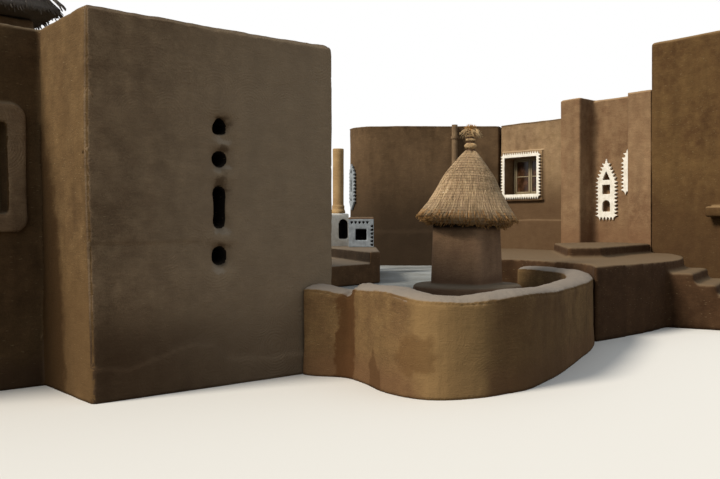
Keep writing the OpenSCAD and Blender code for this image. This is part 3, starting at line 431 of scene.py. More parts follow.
def lime_wash(name, dull, bright):
    """Lime wash brushed over modelled mud: soft chalky white, thin and brown at worn edges,
    with brush marks 17 mm apart."""
    material, tree, shader, point = new_material(name, 0.88, 0.2)
    patch = add(tree, "TexNoise", {"Vector": point, "Scale": 9.0, "Detail": 6.0, "Roughness": 0.65})
    grain = add(tree, "TexNoise", {"Vector": point, "Scale": 140.0, "Detail": 3.0})
    brushed = add(tree, "Mapping", {"Vector": point, "Scale": (60.0, 60.0, 9.0)})
    brush = add(tree, "TexNoise", {"Vector": brushed.outputs["Vector"], "Scale": 1.0,
                                   "Detail": 3.0})
    colour = tinted(tree, linear(dull), patch.outputs["Fac"], 0.35, 0.65, 1.0, bright)
    colour = tinted(tree, colour, patch.outputs["Fac"], 0.62, 0.74, 0.55, "A08A6B")
    colour = toned(tree, colour, brush.outputs["Fac"], 0.3, 0.7, 0.92, 1.06)
    surfaced(tree, shader, colour, (patch.outputs["Fac"], 0.006), (grain.outputs["Fac"], 0.0015))
    return material


def dry_straw(name, dark, middle, light, grain=9.0, axis=None):
    """Dry thatching straw: thin stalks that differ in tone, satin on the stalk, dull as a mass.
    Stalks of 5 mm are drawn 17 mm coarse. Round an axis they fan out from it and close rows of
    stitches cross them."""
    material, tree, shader, point = new_material(name, 0.7, 0.3)
    if axis:
        moved = add(tree, "VectorMath", {0: point, 1: axis}, operation="SUBTRACT")
        parts = add(tree, "SeparateXYZ", {0: moved.outputs["Vector"]})
        # The seam of the angle lies at the back, away from the gate
        angle = add(tree, "Math", {0: parts.outputs["X"], 1: parts.outputs["Y"]},
                    operation="ARCTAN2")
        fan = add(tree, "CombineXYZ", {"X": angle.outputs["Value"], "Y": parts.outputs["Z"]})
        place = add(tree, "Mapping", {"Vector": fan.outputs["Vector"], "Scale": (42.0, 3.2, 1.0)})
    else:
        place = add(tree, "Mapping", {"Vector": point, "Scale": (60.0, 60.0, 40.0)})
    stalks = add(tree, "TexNoise", {"Vector": place.outputs["Vector"], "Scale": 1.0,
                                    "Detail": 4.0, "Roughness": 0.75})
    patch = add(tree, "TexNoise", {"Vector": point, "Scale": grain, "Detail": 4.0})
    weather = add(tree, "TexNoise", {"Vector": point, "Scale": 2.2, "Detail": 3.0})
    colour = tinted(tree, linear(dark), stalks.outputs["Fac"], 0.34, 0.66, 1.0, light)
    blend = add(tree, "MapRange", {"Value": patch.outputs["Fac"], "From Min": 0.35,
                                   "From Max": 0.65, "To Min": 0.15, "To Max": 0.7})
    colour = add(tree, "Mix", {0: blend.outputs["Result"], 6: colour, 7: linear(middle)},
                 data_type="RGBA").outputs[2]
    colour = toned(tree, colour, weather.outputs["Fac"], 0.4, 0.7, 1.1, 0.85)
    if axis:
        phase = add(tree, "Math", {0: parts.outputs["Z"], 1: math.tau / STITCH_PITCH},
                    operation="MULTIPLY")
        row = add(tree, "Math", {0: phase.outputs["Value"]}, operation="SINE")
        colour = toned(tree, colour, row.outputs["Value"], -1.0, 1.0, 0.87, 1.07)
    surfaced(tree, shader, colour, (stalks.outputs["Fac"], 0.002))
    return material


def bare_timber(name):
    """Bare sawn hardwood, grey from the sun: long grain 6 mm wide, dull, darker in the checks."""
    material, tree, shader, point = new_material(name, 0.75, 0.25)
    along = add(tree, "Mapping", {"Vector": point, "Scale": (160.0, 160.0, 7.0)})
    grain = add(tree, "TexNoise", {"Vector": along.outputs["Vector"], "Scale": 1.0, "Detail": 5.0})
    patch = add(tree, "TexNoise", {"Vector": point, "Scale": 7.0, "Detail": 4.0})
    colour = tinted(tree, linear("6A5B40"), grain.outputs["Fac"], 0.3, 0.7, 1.0, "93876E")
    colour = tinted(tree, colour, patch.outputs["Fac"], 0.45, 0.7, 0.5, "7A6E58")
    surfaced(tree, shader, colour, (grain.outputs["Fac"], 0.0012))
    return material


def fired_clay(name):
    """Unglazed low-fired clay pipe: matt orange-brown under dust and rain marks 25 mm wide."""
    material, tree, shader, point = new_material(name, 0.85, 0.2)
    patch = add(tree, "TexNoise", {"Vector": point, "Scale": 8.0, "Detail": 5.0})
    run = add(tree, "Mapping", {"Vector": point, "Scale": (40.0, 40.0, 1.6)})
    marks = add(tree, "TexNoise", {"Vector": run.outputs["Vector"], "Scale": 1.0, "Detail": 4.0})
    colour = tinted(tree, linear("66523C"), patch.outputs["Fac"], 0.35, 0.65, 1.0, "806B50")
    colour = tinted(tree, colour, marks.outputs["Fac"], 0.45, 0.7, 0.6, "57412C")
    surfaced(tree, shader, colour, (patch.outputs["Fac"], 0.004))
    return material


def window_glass(name):
    """Old float glass: smooth, with a film of dust. Its colour paints the dark room behind it and
    a brown reflection.
    """
    material, tree, shader, point = new_material(name, GLASS_ROUGHNESS, 0.5)
    dust_and_reflection = add(tree, "TexNoise", {"Vector": point, "Scale": 7.0, "Detail": 4.0})
    # The base colour paints the dark room behind and a brown reflection, varied with the dust
    colour = tinted(tree, linear("2A1A0E"), dust_and_reflection.outputs["Fac"], 0.4, 0.7, 1.0, "4E3320")
    film = add(tree, "MapRange", {"Value": dust_and_reflection.outputs["Fac"], "From Min": 0.3, "From Max": 0.8,
                                  "To Min": 0.08, "To Max": 0.4})
    tree.links.new(colour, shader.inputs["Base Color"])
    tree.links.new(film.outputs["Result"], shader.inputs["Roughness"])
    shader.inputs["IOR"].default_value = GLASS_IOR
    return material


def floor_paint(name):
    """Plain pale floor: pale where the camera sees it, white far away, duller as a reflector."""
    material, tree, shader, point = new_material(name, 0.9, 0.1)
    ray = add(tree, "LightPath")
    near = add(tree, "Mix", {0: ray.outputs["Is Camera Ray"], 6: linear("7A7266"),
                             7: linear("D9D6D0")}, data_type="RGBA")
    tree.links.new(near.outputs[2], shader.inputs["Base Color"])
    away = add(tree, "VectorMath", {0: point, 1: (*HOUSE_MIDDLE, 0.0)}, operation="DISTANCE")
    far = add(tree, "MapRange", {"Value": away.outputs["Value"], "From Min": 12.0,
                                 "From Max": 34.0}, interpolation_type="SMOOTHSTEP")
    shown = add(tree, "Math", {0: far.outputs["Result"], 1: ray.outputs["Is Camera Ray"]},
                operation="MULTIPLY")
    white = add(tree, "Emission", {"Color": (1.0, 1.0, 1.0, 1.0), "Strength": 1.0})
    both = add(tree, "MixShader", {0: shown.outputs["Value"], 1: shader.outputs["BSDF"],
                                   2: white.outputs["Emission"]})
    tree.links.new(both.outputs["Shader"], tree.nodes["Material Output"].inputs["Surface"])
    return material


# Below each peephole a painted light where its sill faces up, above it a painted shade
SILLS = tuple(
    (middle, reach, tint, 0.6, 0.45)
    for foot, head in ((2.40, 2.54), (2.117, 2.25), (1.53, 1.93), (1.17, 1.33))
    for middle, reach, tint in (
        ((1.115, -0.17, foot - 0.045), (0.08, 0.2, 0.034), "8E8272"),
        ((1.13, -0.17, head + 0.015), (0.065, 0.2, 0.055), "3A2717")))

# The place from which the straw of the granary's thatch fans out
CAP_SEAT = cap_place().translation

# For each finish, what makes it, its name, its colours and its other measures. A mud's colours
# go light, middle, dark, crest and foot: the crest is pale dust and painted light on what faces
# up, and the foot darkens the wall towards the bottom. The front ranges take the first three from
# the panel. A foot_top of -1 leaves the foot out.
FINISHES = {
    # The wide patch paints light on the right of the front wall; the foot is painted shade with
    # damp
    "left_mud": (mud_plaster, "Adobe plaster, front ranges", ("594E40", "3C2B1C"), {
        "foot_top": 0.75, "foot_run": 0.5, "foot_share": 0.8, "relief": 1.5, "ridges": 1.6,
        "patches": (((2.9, -0.2, 1.9), (2.3, 2.0, 2.4), "8C7B65", 0.65, 0.45),) + SILLS}),
    # The patch on the return's inner corner is the wing's painted shadow
    "return_mud": (mud_plaster, "Adobe plaster, left return",
                   ("715A3C", "644E32", "55412A", "6E5E48", "5A442A"), {
                       "foot_top": 1.2, "foot_run": 0.6,
                       "patches": (((-0.2, 1.05, 0.3), (1.0, 0.62, 2.4), "35230F", 0.8, 0.12),)}),
    # The wing's plaster is darkened as painted shade
    "wing_mud": (mud_plaster, "Plaster with painted shade, left wing",
                 ("5E4830", "513F29", "41301E", "6A5C48", "3C2C20"), {}),
    # Near black: painted shade in the peepholes, soot and painted shade in the lamp niches and
    # notches
    "soot_and_painted_shade": (mud_plaster, "Soot and painted shade in the openings",
             ("1E1812", "18130E", "120E0A", "1E1812", "120E0A"), {"foot_top": -1.0}),
    "right_mud": (mud_plaster, "Adobe plaster, tall block",
                  ("664F30", "584227", "47321D", "8A7150", "3E2B1A"),
                  {"foot_top": 2.6, "foot_run": 1.6}),
    # The window wall's high foot is painted shade on its lower part
    "window_mud": (mud_plaster, "Adobe plaster, window wall",
                   ("997F61", "856E50", "6E5740", "A89172", "4C3825"),
                   {"foot_top": 2.9, "foot_run": 1.2, "foot_share": 0.85}),
    # The back wall is darkened, and its high foot darker still towards the bottom: painted shade
    "back_mud": (mud_plaster, "Adobe plaster, back wall",
                 ("6A543C", "5A4733", "483725", "8A755A", "30251A"),
                 {"foot_top": 3.2, "foot_run": 2.1, "foot_share": 0.9}),
    "recess_mud": (mud_plaster, "Adobe plaster, relief recess",
                   ("8D7355", "7B6147", "664C36", "A38A6A", "6A4D36"),
                   {"foot_top": 1.6, "foot_run": 0.5}),
    "low_mud": (mud_plaster, "Adobe plaster, low wall",
                ("7C6340", "6C5437", "58422B", "827A71", "624630"), {
                    "foot_top": 0.2, "relief": 1.2, "patches": (
                        # In turn: painted light, painted shade, painted shade with a reddish stain
                        # in the hollow, a dark patch low down, and a painted shadow
                        ((2.36, -2.02, 0.5), (0.36, 0.40, 1.0), "866B46", 0.8, 0.3),
                        ((3.7, -2.2, 0.4), (0.95, 0.5, 1.5), "4F3A25", 0.45, 0.3),
                        ((2.20, -0.66, 0.4), (0.3, 0.13, 2.5), "4A2F18", 0.8, 0.2),
                        ((2.13, -1.22, 0.12), (0.2, 0.15, 0.2), "4A321C", 0.6, 0.15),
                        ((2.10, -1.82, 0.38), (0.2, 0.2, 0.17), "54391F", 0.5, 0.25))}),
    "platform_mud": (mud_plaster, "Adobe plaster, platform",
                     ("4D3825", "432F1E", "372516", "6C5A44", "372516"), {"foot_top": -1.0}),
    "bench_mud": (mud_plaster, "Adobe plaster, seat",
                  ("6E5239", "5E4630", "4E3A27", "6E6355", "33271E"), {"foot_top": -1.0}),
    # The face over the seat is darkened as painted shade
    "back_of_seat": (mud_plaster, "Plaster with painted shade, back of the seat",
                     ("403327", "352A1F", "2A2118", "6E6355", "2A2118"), {"foot_top": -1.0}),
    "store_mud": (mud_plaster, "Adobe plaster, granary",
                  ("876B51", "796049", "6A5140", "6B6152", "5A4434"),
                  # The eaves height paints shade on the body's top under the thatch
                  {"foot_top": 0.75, "foot_run": 0.15, "eaves": 1.53}),
    "pier_mud": (mud_plaster, "Sunlit plaster, gate pier",
                 ("A98D64", "967A54", "806545", "B09A74", "806545"), {"foot_top": -1.0}),
    "roof_mud": (mud_plaster, "Trodden mud roof",
                 ("877257", "78644A", "66523B", "8A7A62", "78644A"), {"foot_top": -1.0}),
    "earth": (court_earth, "Dung-washed earth floor", (), {}),
    "lime": (lime_wash, "Lime wash on modelled mud", ("D2CBBC", "E8E3D8"), {}),
    # Grey lime for white parts that stand in shade: painted shade
    "grey_lime": (lime_wash, "Lime wash greyed with painted shade", ("73787C", "8E9498"), {}),
    "straw": (dry_straw, "Golden thatching straw", ("735B3A", "A1876A", "D0B690"),
              {"axis": CAP_SEAT}),
    "fringe": (dry_straw, "Cut ends of thatching straw", ("42280F", "94693A", "CFA266"),
               {"grain": 20.0, "axis": CAP_SEAT}),
    "bound_straw": (dry_straw, "Pale bound straw", ("6B4E2C", "C0A176", "DCC296"),
                    {"grain": 20.0}),
    "binding": (dry_straw, "Dark grass rope", ("2E1E12", "4A3320", "6A4C30"), {"grain": 20.0}),
    "tuft": (dry_straw, "Orange-brown straw tuft", ("5A3A16", "9A6C34", "C59A5A"),
             {"grain": 20.0}),
    "grey_straw": (dry_straw, "Weathered grey thatch", ("211C17", "403830", "5C544A"), {}),
    "timber": (bare_timber, "Bare weathered hardwood", (), {}),
    "clay": (fired_clay, "Unglazed fired clay", (), {}),
    "glass": (window_glass, "Dusty float glass, painted reflection", (), {}),
}

MATERIALS = {}


def finish_of(name):
    """Makes each material once and hands it out by a short name."""
    if name not in MATERIALS:
        maker, label, colours, measures = FINISHES[name]
        if name == "left_mud":
            chosen = bpy.context.scene.house_colours
            colours = (chosen.mud_light, chosen.mud, chosen.mud_dark) + colours
        MATERIALS[name] = maker(label, *colours, **measures)
    return MATERIALS[name]


# Settings that a user would change

class HouseSizes(bpy.types.PropertyGroup):
    skin_grain: bpy.props.FloatProperty(
        name="Skin grain", description="Size of the facets of the plaster near the camera",
        default=0.018, min=0.012, max=0.08, unit="LENGTH")
    back_grain: bpy.props.FloatProperty(
        name="Far skin grain", description="Size of the facets of the plaster at the back",
        default=0.04, min=0.02, max=0.1, unit="LENGTH")
    smear_depth: bpy.props.FloatProperty(
        name="Smear depth", description="Depth of the hollows pressed into the plaster",
        default=0.016, min=0.0, max=0.04, unit="LENGTH")
    stalk_width: bpy.props.FloatProperty(
        name="Stalk width", description="Width of one drawn stalk of thatch",
        default=0.011, min=0.004, max=0.02, unit="LENGTH")
    roll_height: bpy.props.FloatProperty(
        name="Knot height", description="Height of the granary's straw knot",
        default=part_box("granary_knot")[1][2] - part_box("granary_knot")[0][2],
        min=0.1, max=0.6, unit="LENGTH")


class HouseColours(bpy.types.PropertyGroup):
    mud_light: bpy.props.StringProperty(
        name="Light mud", description="sRGB hex of the lightest plaster", default="897358")
    mud: bpy.props.StringProperty(
        name="Mud", description="sRGB hex of the plaster", default="735F49")
    mud_dark: bpy.props.StringProperty(
        name="Dark mud", description="sRGB hex of the darkest plaster", default="5B4835")


# Walls

# The lip where the front wall's lower coat ends, along x and up z
LIP = ((-0.2, 0.30), (0.15, 0.24), (0.6, 0.38), (0.8, 0.41), (1.01, 0.39), (1.16, 0.24),
       (1.6, 0.20), (2.5, 0.22))
# The height of the joint between two days' coats, and the seam's place and foot
DAY_JOINT = 1.40
SEAM_X = 0.75
SEAM_FOOT = 2.2
# Where the walls' crests begin
CREST_FOOT = 3.0


def left_detail(point, normal):
    """The lowest coat stands out under its lip, the top one hangs over at the day's joint, a
    seam runs down from the crest, and the peepholes and the crest are worn."""
    depth = 0.0
    if normal.y < -0.3 and abs(point.y - FRONT_FACE) < 0.14:
        # The lower coat stands out by 14 mm
        over = point.z - on_line(LIP, point.x) - 0.03 * field(point, 0.2, 5.0)
        depth += 0.014 * clamp(over / 0.03)
        # The coat under the joint is 13 mm deep there and comes level in half a metre
        if point.x < 1.3:
            under = DAY_JOINT + 0.02 * field(point, 0.3, 6.0) - point.z
            depth += 0.013 * (clamp(under / 0.018) - clamp(under / 0.5)) \
                * clamp((1.2 - point.x) / 0.4)
        if point.z > SEAM_FOOT:
            side = (point.x - SEAM_X - 0.02 * field(point, 0.3, 4.0)) / 0.02
            depth += 0.006 * math.exp(-side * side)
    if abs(point.x - PEEPHOLE_X) < 0.09 and -0.19 < point.y < 0.1:
        for hole in PEEPHOLES:
            foot, head, half, worn = hole
            if foot - 0.04 < point.z < head + 0.04:
                depth += worn
                # The lowest is worn through its sill
                if hole is PEEPHOLES[-1] and normal.z > 0.4:
                    depth += 0.022
    if normal.z > 0.3 and point.z > CREST_FOOT:
        depth += 0.014 * field(point, 0.5, 9.0) + 0.008 * abs(field(point, 0.12, 2.0))
    return depth


# How far the front block's near corner leans out, by height, as the old wall has settled
CORNER_LEAN = ((-0.1, -0.012), (0.9, 0.012), (1.43, 0.030), (2.2, 0.052), (4.5, 0.060))


def left_shape(point):
    """The near corner leans out to the left and the far one to the right, the crest rises
    and ends round at the right, and the peepholes lie in dishes."""
    share = clamp((1.2 - point.x) / 1.2) * clamp((1.3 - point.y) / 0.2)
    right = clamp((point.x - 1.6) / 0.8)
    crest = clamp((point.z - 2.9) / 0.4) * clamp((1.2 - point.y) / 0.3)
    end = clamp((point.x - 2.30) / 0.14) * clamp((point.z - 3.30) / 0.16)
    dish = 0.0
    if abs(point.x - PEEPHOLE_X) < 0.3 and point.y < 0.1:
        for foot, head, half, worn in PEEPHOLES:
            up = max(foot - point.z, 0.0, (point.z - head) * 1.6)
            away = math.hypot(max(abs(point.x - PEEPHOLE_X) - half, 0.0), up)
            dish += 0.05 * clamp(1.0 - away / 0.16) ** 2
        dish = min(dish, 0.06) * clamp((0.1 - point.y) / 0.3)
    return Vector((0.045 * right - on_line(CORNER_LEAN, point.z) * share - 0.03 * end, dish,
                   (0.040 + 0.022 * right) * crest - 0.045 * end * end))


def by_peepholes(point):
    """True at the outer ends of the peepholes and round them."""
    return abs(point.x - PEEPHOLE_X) < 0.26 and -0.3 < point.y < 0.0 and 1.0 < point.z < 2.8


def in_peephole(point, normal):
    """True deep inside the four peepholes of the front wall, whose shade is painted dark."""
    return abs(point.x - PEEPHOLE_X) < 0.1 and -0.12 < point.y < 0.215 and 1.0 < point.z < 2.7


def seen_left(point, normal):
    """How much of the skin's detail is kept: most on the faces that show from outside."""
    hole = abs(point.x - PEEPHOLE_X) < 0.2 and point.z > 1.0
    if normal.y > 0.5 and not hole:
        return 0.02
    return 1.0 if hole or point.z > 3.2 else 0.3


def on_wing(point, normal):
    """True on the set-back wing, whose plaster is darkened as painted shade."""
    return point.x < -0.22 and point.y > 0.9


def on_return(point, normal):
    """True on the return that faces the setting sun."""
    return normal.x < -0.6 and point.x < -0.15 and point.y < 0.95


class HOUSE_OT_left_walls(bpy.types.Operator):
    """Plaster the front block, the left wing and the hut's walls in one coat"""
    bl_idname = "house.left_walls"
    bl_label = "Left walls"

    def execute(self, context):
        sizes = context.scene.house_sizes
        mud_skin("front_walls_plaster", FRONT_WALLS, "left_mud", grain=sizes.skin_grain,
                 faces=130000, amount=sizes.smear_depth, detail=left_detail,
                 weight=seen_left, shape=left_shape, soft=by_peepholes,
                 others=((in_peephole, "soot_and_painted_shade"), (on_wing, "wing_mud"),
                         (on_return, "return_mud")))
        mud_skin("left_walls_plaster", LEFT_WALLS, "left_mud", grain=sizes.back_grain,
                 faces=24000, amount=sizes.smear_depth, detail=left_detail,
                 shape=left_shape)
        for name in ("left_roof", "right_roofs"):
            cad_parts[name].data.materials[0] = finish_of("roof_mud")
        return {"FINISHED"}


def right_detail(point, normal):
    """The crests of the right walls are uneven."""
    if normal.z > 0.3 and point.z > CREST_FOOT:
        return 0.02 * (0.5 + 0.5 * field(point, 0.6, 9.0))
    return 0.0


def seen_right(point, normal):
    """How much of the skin's detail is kept: most on the walls round the court."""
    return 1.0 if point.x < 12.3 and point.z > 0.9 else 0.15


# Heights of the lips on the back wall and on the window wall
BACK_LIP = 1.385
WINDOW_LIP = 1.64


def lip_detail(level):
    """A coat that ends in a lip at some height, above which the wall stands back."""
    def detail(point, normal):
        over = point.z - level - 0.025 * field(point, 0.7, 5.0)
        return right_detail(point, normal) + (
            0.028 * clamp(over / 0.03) if abs(normal.z) < 0.5 else 0.0)
    return detail


# The middle of the back corner's bulge, its way and how far it stands out
BULGE_AT = (9.45, 8.35)
BULGE_WAY = Vector((-0.762, 0.648, 0.0))
BULGE = 0.06


def corner_shape(point):
    """The rounded left end of the back wall bulges."""
    share = clamp(1.0 - math.hypot(point.x - BULGE_AT[0], point.y - BULGE_AT[1]) / 0.6)
    return BULGE_WAY * BULGE * share


class HOUSE_OT_right_walls(bpy.types.Operator):
    """Plaster the back range, the window wall, the relief recess and the tall block"""
    bl_idname = "house.right_walls"
    bl_label = "Right walls"

    def execute(self, context):
        grain = context.scene.house_sizes.back_grain
        smeared = context.scene.house_sizes.smear_depth
        mud_skin("back_walls_plaster", BACK_WALLS, "back_mud", grain=grain, faces=42000,
                 amount=smeared, detail=lip_detail(BACK_LIP), shape=corner_shape)
        mud_skin("right_walls_plaster", RIGHT_WALLS, "right_mud", grain=grain, faces=54000,
                 amount=smeared, detail=right_detail, weight=seen_right)
        mud_skin("window_wall_plaster", ("window_wall",), "window_mud", grain=grain * 0.6,
                 faces=36000, amount=smeared, detail=lip_detail(WINDOW_LIP))
        mud_skin("recess_plaster", RECESS_WALLS, "recess_mud", grain=grain * 0.5,
                 faces=60000, amount=smeared * 0.8, detail=right_detail)
        return {"FINISHED"}


# The hollow in the low wall's outer face
HOLLOW_Y = -0.67
# Places along the low wall's centre line and how far its crest rises over the CAD's there
LOW_CREST = (
    (2.22, -0.04, -0.045), (2.24, -0.26, -0.018), (2.40, -0.50, -0.040), (2.43, -0.62, -0.015),
    (2.45, -0.71, 0.070), (2.43, -0.85, 0.052), (2.38, -1.08, 0.033), (2.255, -1.49, 0.048),
    (2.30, -1.84, 0.006), (2.56, -1.99, 0.015), (2.88, -2.035, 0.019), (3.22, -2.03, 0.024),
    (3.87, -1.815, 0.008), (4.41, -1.595, 0.007), (5.65, -1.04, 0.005), (6.73, -0.26, 0.0),
    (7.11, 0.66, 0.0), (7.14, 1.03, 0.005),
)


def low_shape(point):
    """The crest rises to a mound where the wall leaves the front block."""
    share = clamp((point.z - 0.35) / 0.45)
    if share <= 0.0:
        return Vector((0.0, 0.0, 0.0))
    best, lift = math.inf, 0.0
    for (x0, y0, lift0), (x1, y1, lift1) in zip(LOW_CREST, LOW_CREST[1:]):
        run_x, run_y = x1 - x0, y1 - y0
        t = clamp(((point.x - x0) * run_x + (point.y - y0) * run_y)
                  / (run_x * run_x + run_y * run_y))
        away = math.hypot(point.x - x0 - t * run_x, point.y - y0 - t * run_y)
        if away < best:
            best, lift = away, lift0 + (lift1 - lift0) * t
    return Vector((0.0, 0.0, lift * share))


def low_detail(point, normal):
    """The low wall stands out at its foot and its crest is rough."""
    depth = 0.012 * clamp((point.z - 0.03) / 0.22) if normal.z < 0.5 else 0.0
    # A hollow runs down the outer face under the step of the crest
    if point.x < 2.37 and point.y < -0.3:
        side = (point.y - HOLLOW_Y) / 0.06
        depth += 0.03 * math.exp(-side * side) * clamp((point.z - 0.1) / 0.3)
    if normal.z > 0.2 and point.z > 0.7:
        depth += 0.008 * field(point, 0.25, 9.0) + 0.008 * abs(field(point, 0.07, 2.0))
    return depth


class HOUSE_OT_low_wall(bpy.types.Operator):
    """Plaster the low curved court wall"""
    bl_idname = "house.low_wall"
    bl_label = "Low wall"

    def execute(self, context):
        sizes = context.scene.house_sizes
        mud_skin("low_wall_plaster", LOW_WALLS, "low_mud", grain=sizes.skin_grain,
                 faces=90000, amount=sizes.smear_depth, detail=low_detail,
                 shape=low_shape)
        return {"FINISHED"}


class HOUSE_OT_court(bpy.types.Operator):
    """Wash the court floor and plaster the platform and the steps"""
    bl_idname = "house.court"
    bl_label = "Court"

    def execute(self, context):
        sizes = context.scene.house_sizes
        mud_skin("court_wash", ("court_floor",), "earth", grain=sizes.back_grain,
                 faces=30000, amount=sizes.smear_depth * 0.6)
        mud_skin("platform_plaster", PLATFORMS, "platform_mud", grain=sizes.back_grain,
                 faces=34000, amount=sizes.smear_depth)
        return {"FINISHED"}


# Light and camera

# The middle of the house's plan
HOUSE_MIDDLE = (6.0, 4.0)
# The way to the sun: from the left and a little behind the front walls, about 38 degrees high
SUN_WAY = Vector((-0.78, 0.09, 0.61))
# The camera stands level at eye height, and its shift sets the horizon at pixel row 225
CAMERA_PLACE = (-3.015, -7.077, 1.55)
CAMERA_LENS = 41.0
CAMERA_SHIFT = -14.5 / 720


def light_world(scene):
    """Even sky light, and plain white wherever the camera or a gloss sees past the floor."""
    world = bpy.data.worlds.new("studio_world")
    world.use_nodes = True
    tree = world.node_tree
    tree.nodes.clear()
    sky = add(tree, "Background", {"Color": (0.86, 0.93, 1.0, 1.0), "Strength": 0.62})
    white = add(tree, "Background", {"Color": (1.0, 1.0, 1.0, 1.0), "Strength": 1.0})
    ray = add(tree, "LightPath")
    gloss = add(tree, "Math", {0: ray.outputs["Is Camera Ray"], 1: ray.outputs["Is Glossy Ray"]},
                operation="MAXIMUM")
    clear = add(tree, "Math", {0: gloss.outputs["Value"],
                               1: ray.outputs["Is Transmission Ray"]}, operation="MAXIMUM")
    both = add(tree, "MixShader", {0: clear.outputs["Value"], 1: sky.outputs["Background"],
                                   2: white.outputs["Background"]})
    add(tree, "OutputWorld", {"Surface": both.outputs["Shader"]})
    scene.world = world


class HOUSE_OT_stage(bpy.types.Operator):
    """Set the floor, the soft daylight and the camera at the photograph's viewing angle"""
    bl_idname = "house.stage"
    bl_label = "Stage"

    def execute(self, context):
        scene = context.scene
        scene.view_settings.view_transform = "Standard"
        bm = bmesh.new()
        bmesh.ops.create_grid(bm, x_segments=1, y_segments=1, size=120.0,
                              matrix=Matrix.Translation((*HOUSE_MIDDLE, -0.001)))
        floor = bpy.data.objects.new("studio_floor", mesh_of(bm, "studio_floor"))
        floor.data.materials.append(floor_paint("Pale studio floor"))
        scene.collection.objects.link(floor)
        light_world(scene)
        sun = bpy.data.lights.new("low_sun", "SUN")
        sun.energy = 4.0
        sun.angle = math.radians(16)
        sun.color = (1.0, 0.93, 0.82)
        lamp = bpy.data.objects.new("low_sun", sun)
        lamp.rotation_euler = SUN_WAY.to_track_quat("Z", "Y").to_euler()
        scene.collection.objects.link(lamp)
        camera = bpy.data.cameras.new("camera")
        camera.sensor_width = 36.0
        camera.lens = CAMERA_LENS
        camera.shift_y = CAMERA_SHIFT
        camera.clip_end = 400.0
        seen = bpy.data.objects.new("camera", camera)
        seen.location = CAMERA_PLACE
        seen.rotation_euler = (math.radians(90), 0.0, SKEW)
        scene.collection.objects.link(seen)
        scene.camera = seen
        return {"FINISHED"}


# Thatch

# The cap's outline from the trimmed eaves to the tip: height and radius
CAP_LINE = ((0.029, 0.700), (0.097, 0.6475), (0.175, 0.581), (0.272, 0.5145), (0.446, 0.4305),
            (0.621, 0.343), (0.795, 0.210), (0.917, 0.1155), (0.970, 0.066))
# The slanting trim under the eaves, from its outer to its inner edge
TRIM = (Vector((0.700, 0.0, 0.029)), Vector((0.520, 0.0, -0.092)))
# The way of the straw at the eaves, up the slope
UP_SLOPE = Vector((-0.61, 0.0, 0.79))
# The core under the straw, inside the eaves: radius and height
CAP_CORE = ((0.0, 0.04), (0.495, 0.04), (0.515, -0.05), (0.650, 0.045))
# Courses of the cap from the eaves up: height of their upper and lower ends, and their stalks
COURSES = ((0.30, 0.05, 900), (0.42, 0.16, 760), (0.54, 0.28, 640), (0.66, 0.40, 560),
           (0.78, 0.52, 460), (0.88, 0.64, 360), (0.955, 0.76, 240))
STITCHES = 22
STITCH_PITCH = 0.036
FRINGE_STALKS = 1900

# The knot as it was measured. Each roll: its foot, its head and its half-width
KNOT_HEIGHT = 0.341
ROLLS = ((0.010, 0.096, 0.0865), (0.113, 0.160, 0.0675), (0.173, 0.208, 0.052))
ROLL_STEPS = 6
ROLL_STALKS = 76
# Width of a strand in the knot, and the pitch of its bindings, three to a place
STRAND = 0.007
BINDING_PITCH = 0.007
# Where the rolls are bound: height and radius
BINDINGS = ((0.0, 0.062), (0.104, 0.050), (0.167, 0.040), (0.212, 0.034))
# The tuft's stiff and drooping stalks: piece, finish, count, least and most reach, and droop
TUFTS = (("granary_tuft", "tuft", 190, 0.0, 0.075, 0.0),
         ("granary_tuft_droop", "bound_straw", 130, 0.08, 0.15, 0.075))

# The hut's thatch: its edge's thickness, its ridge's length, and its rows and rolls of straw
HUT_EDGE = 0.06
HUT_RIDGE = 0.5
HUT_ROWS = 15
HUT_BINDS = 34
# The hut is far off, so its stalks are drawn as bundles, so many times as wide and so far
# apart for their width
HUT_BUNDLE = 2.6
HUT_SPACING = 0.78


# How much thinner a stalk is at its tip, and how far it bends for its width
STALK_TAPER = 0.45
STALK_BEND = 1.2


def stalk_mesh(rng, segments):
    """One stalk of unit length along +Z and unit width, a little bent, thinner at its tip."""
    bm = bmesh.new()
    ring = bmesh.ops.create_circle(bm, segments=3, radius=0.5, cap_ends=True)
    loop = ring["verts"]
    bend = Vector((rng.uniform(-1, 1), rng.uniform(-1, 1), 0.0))
    for k in range(1, segments + 1):
        edges = list({edge for vert in loop for edge in vert.link_edges
                      if all(other in loop for other in edge.verts)})
        result = bmesh.ops.extrude_edge_only(bm, edges=edges)
        loop = [item for item in result["geom"] if isinstance(item, bmesh.types.BMVert)]
        t = k / segments
        shrink = (1.0 - STALK_TAPER * t) / (1.0 - STALK_TAPER * (t - 1 / segments))
        centre = sum((vert.co for vert in loop), Vector()) / len(loop)
        for vert in loop:
            vert.co = centre + (vert.co - centre) * shrink
            vert.co += bend * STALK_BEND * t * t / segments
            vert.co.z += 1 / segments
    bmesh.ops.holes_fill(bm, edges=[edge for edge in bm.edges if edge.is_boundary])
    bmesh.ops.recalc_face_normals(bm, faces=bm.faces)
    shade_smooth(bm)
    return mesh_of(bm, "stalk")


def lay(bm, mesh, root, tip, width):
    """Adds a copy of a stalk that lies from its root to its tip."""
    run = tip - root
    place = (Matrix.Translation(root) @ run.to_track_quat("Z", "Y").to_matrix().to_4x4()
             @ Matrix.Diagonal((width, width, run.length, 1.0)))
    mesh.transform(place)
    bm.from_mesh(mesh)
    mesh.transform(place.inverted())


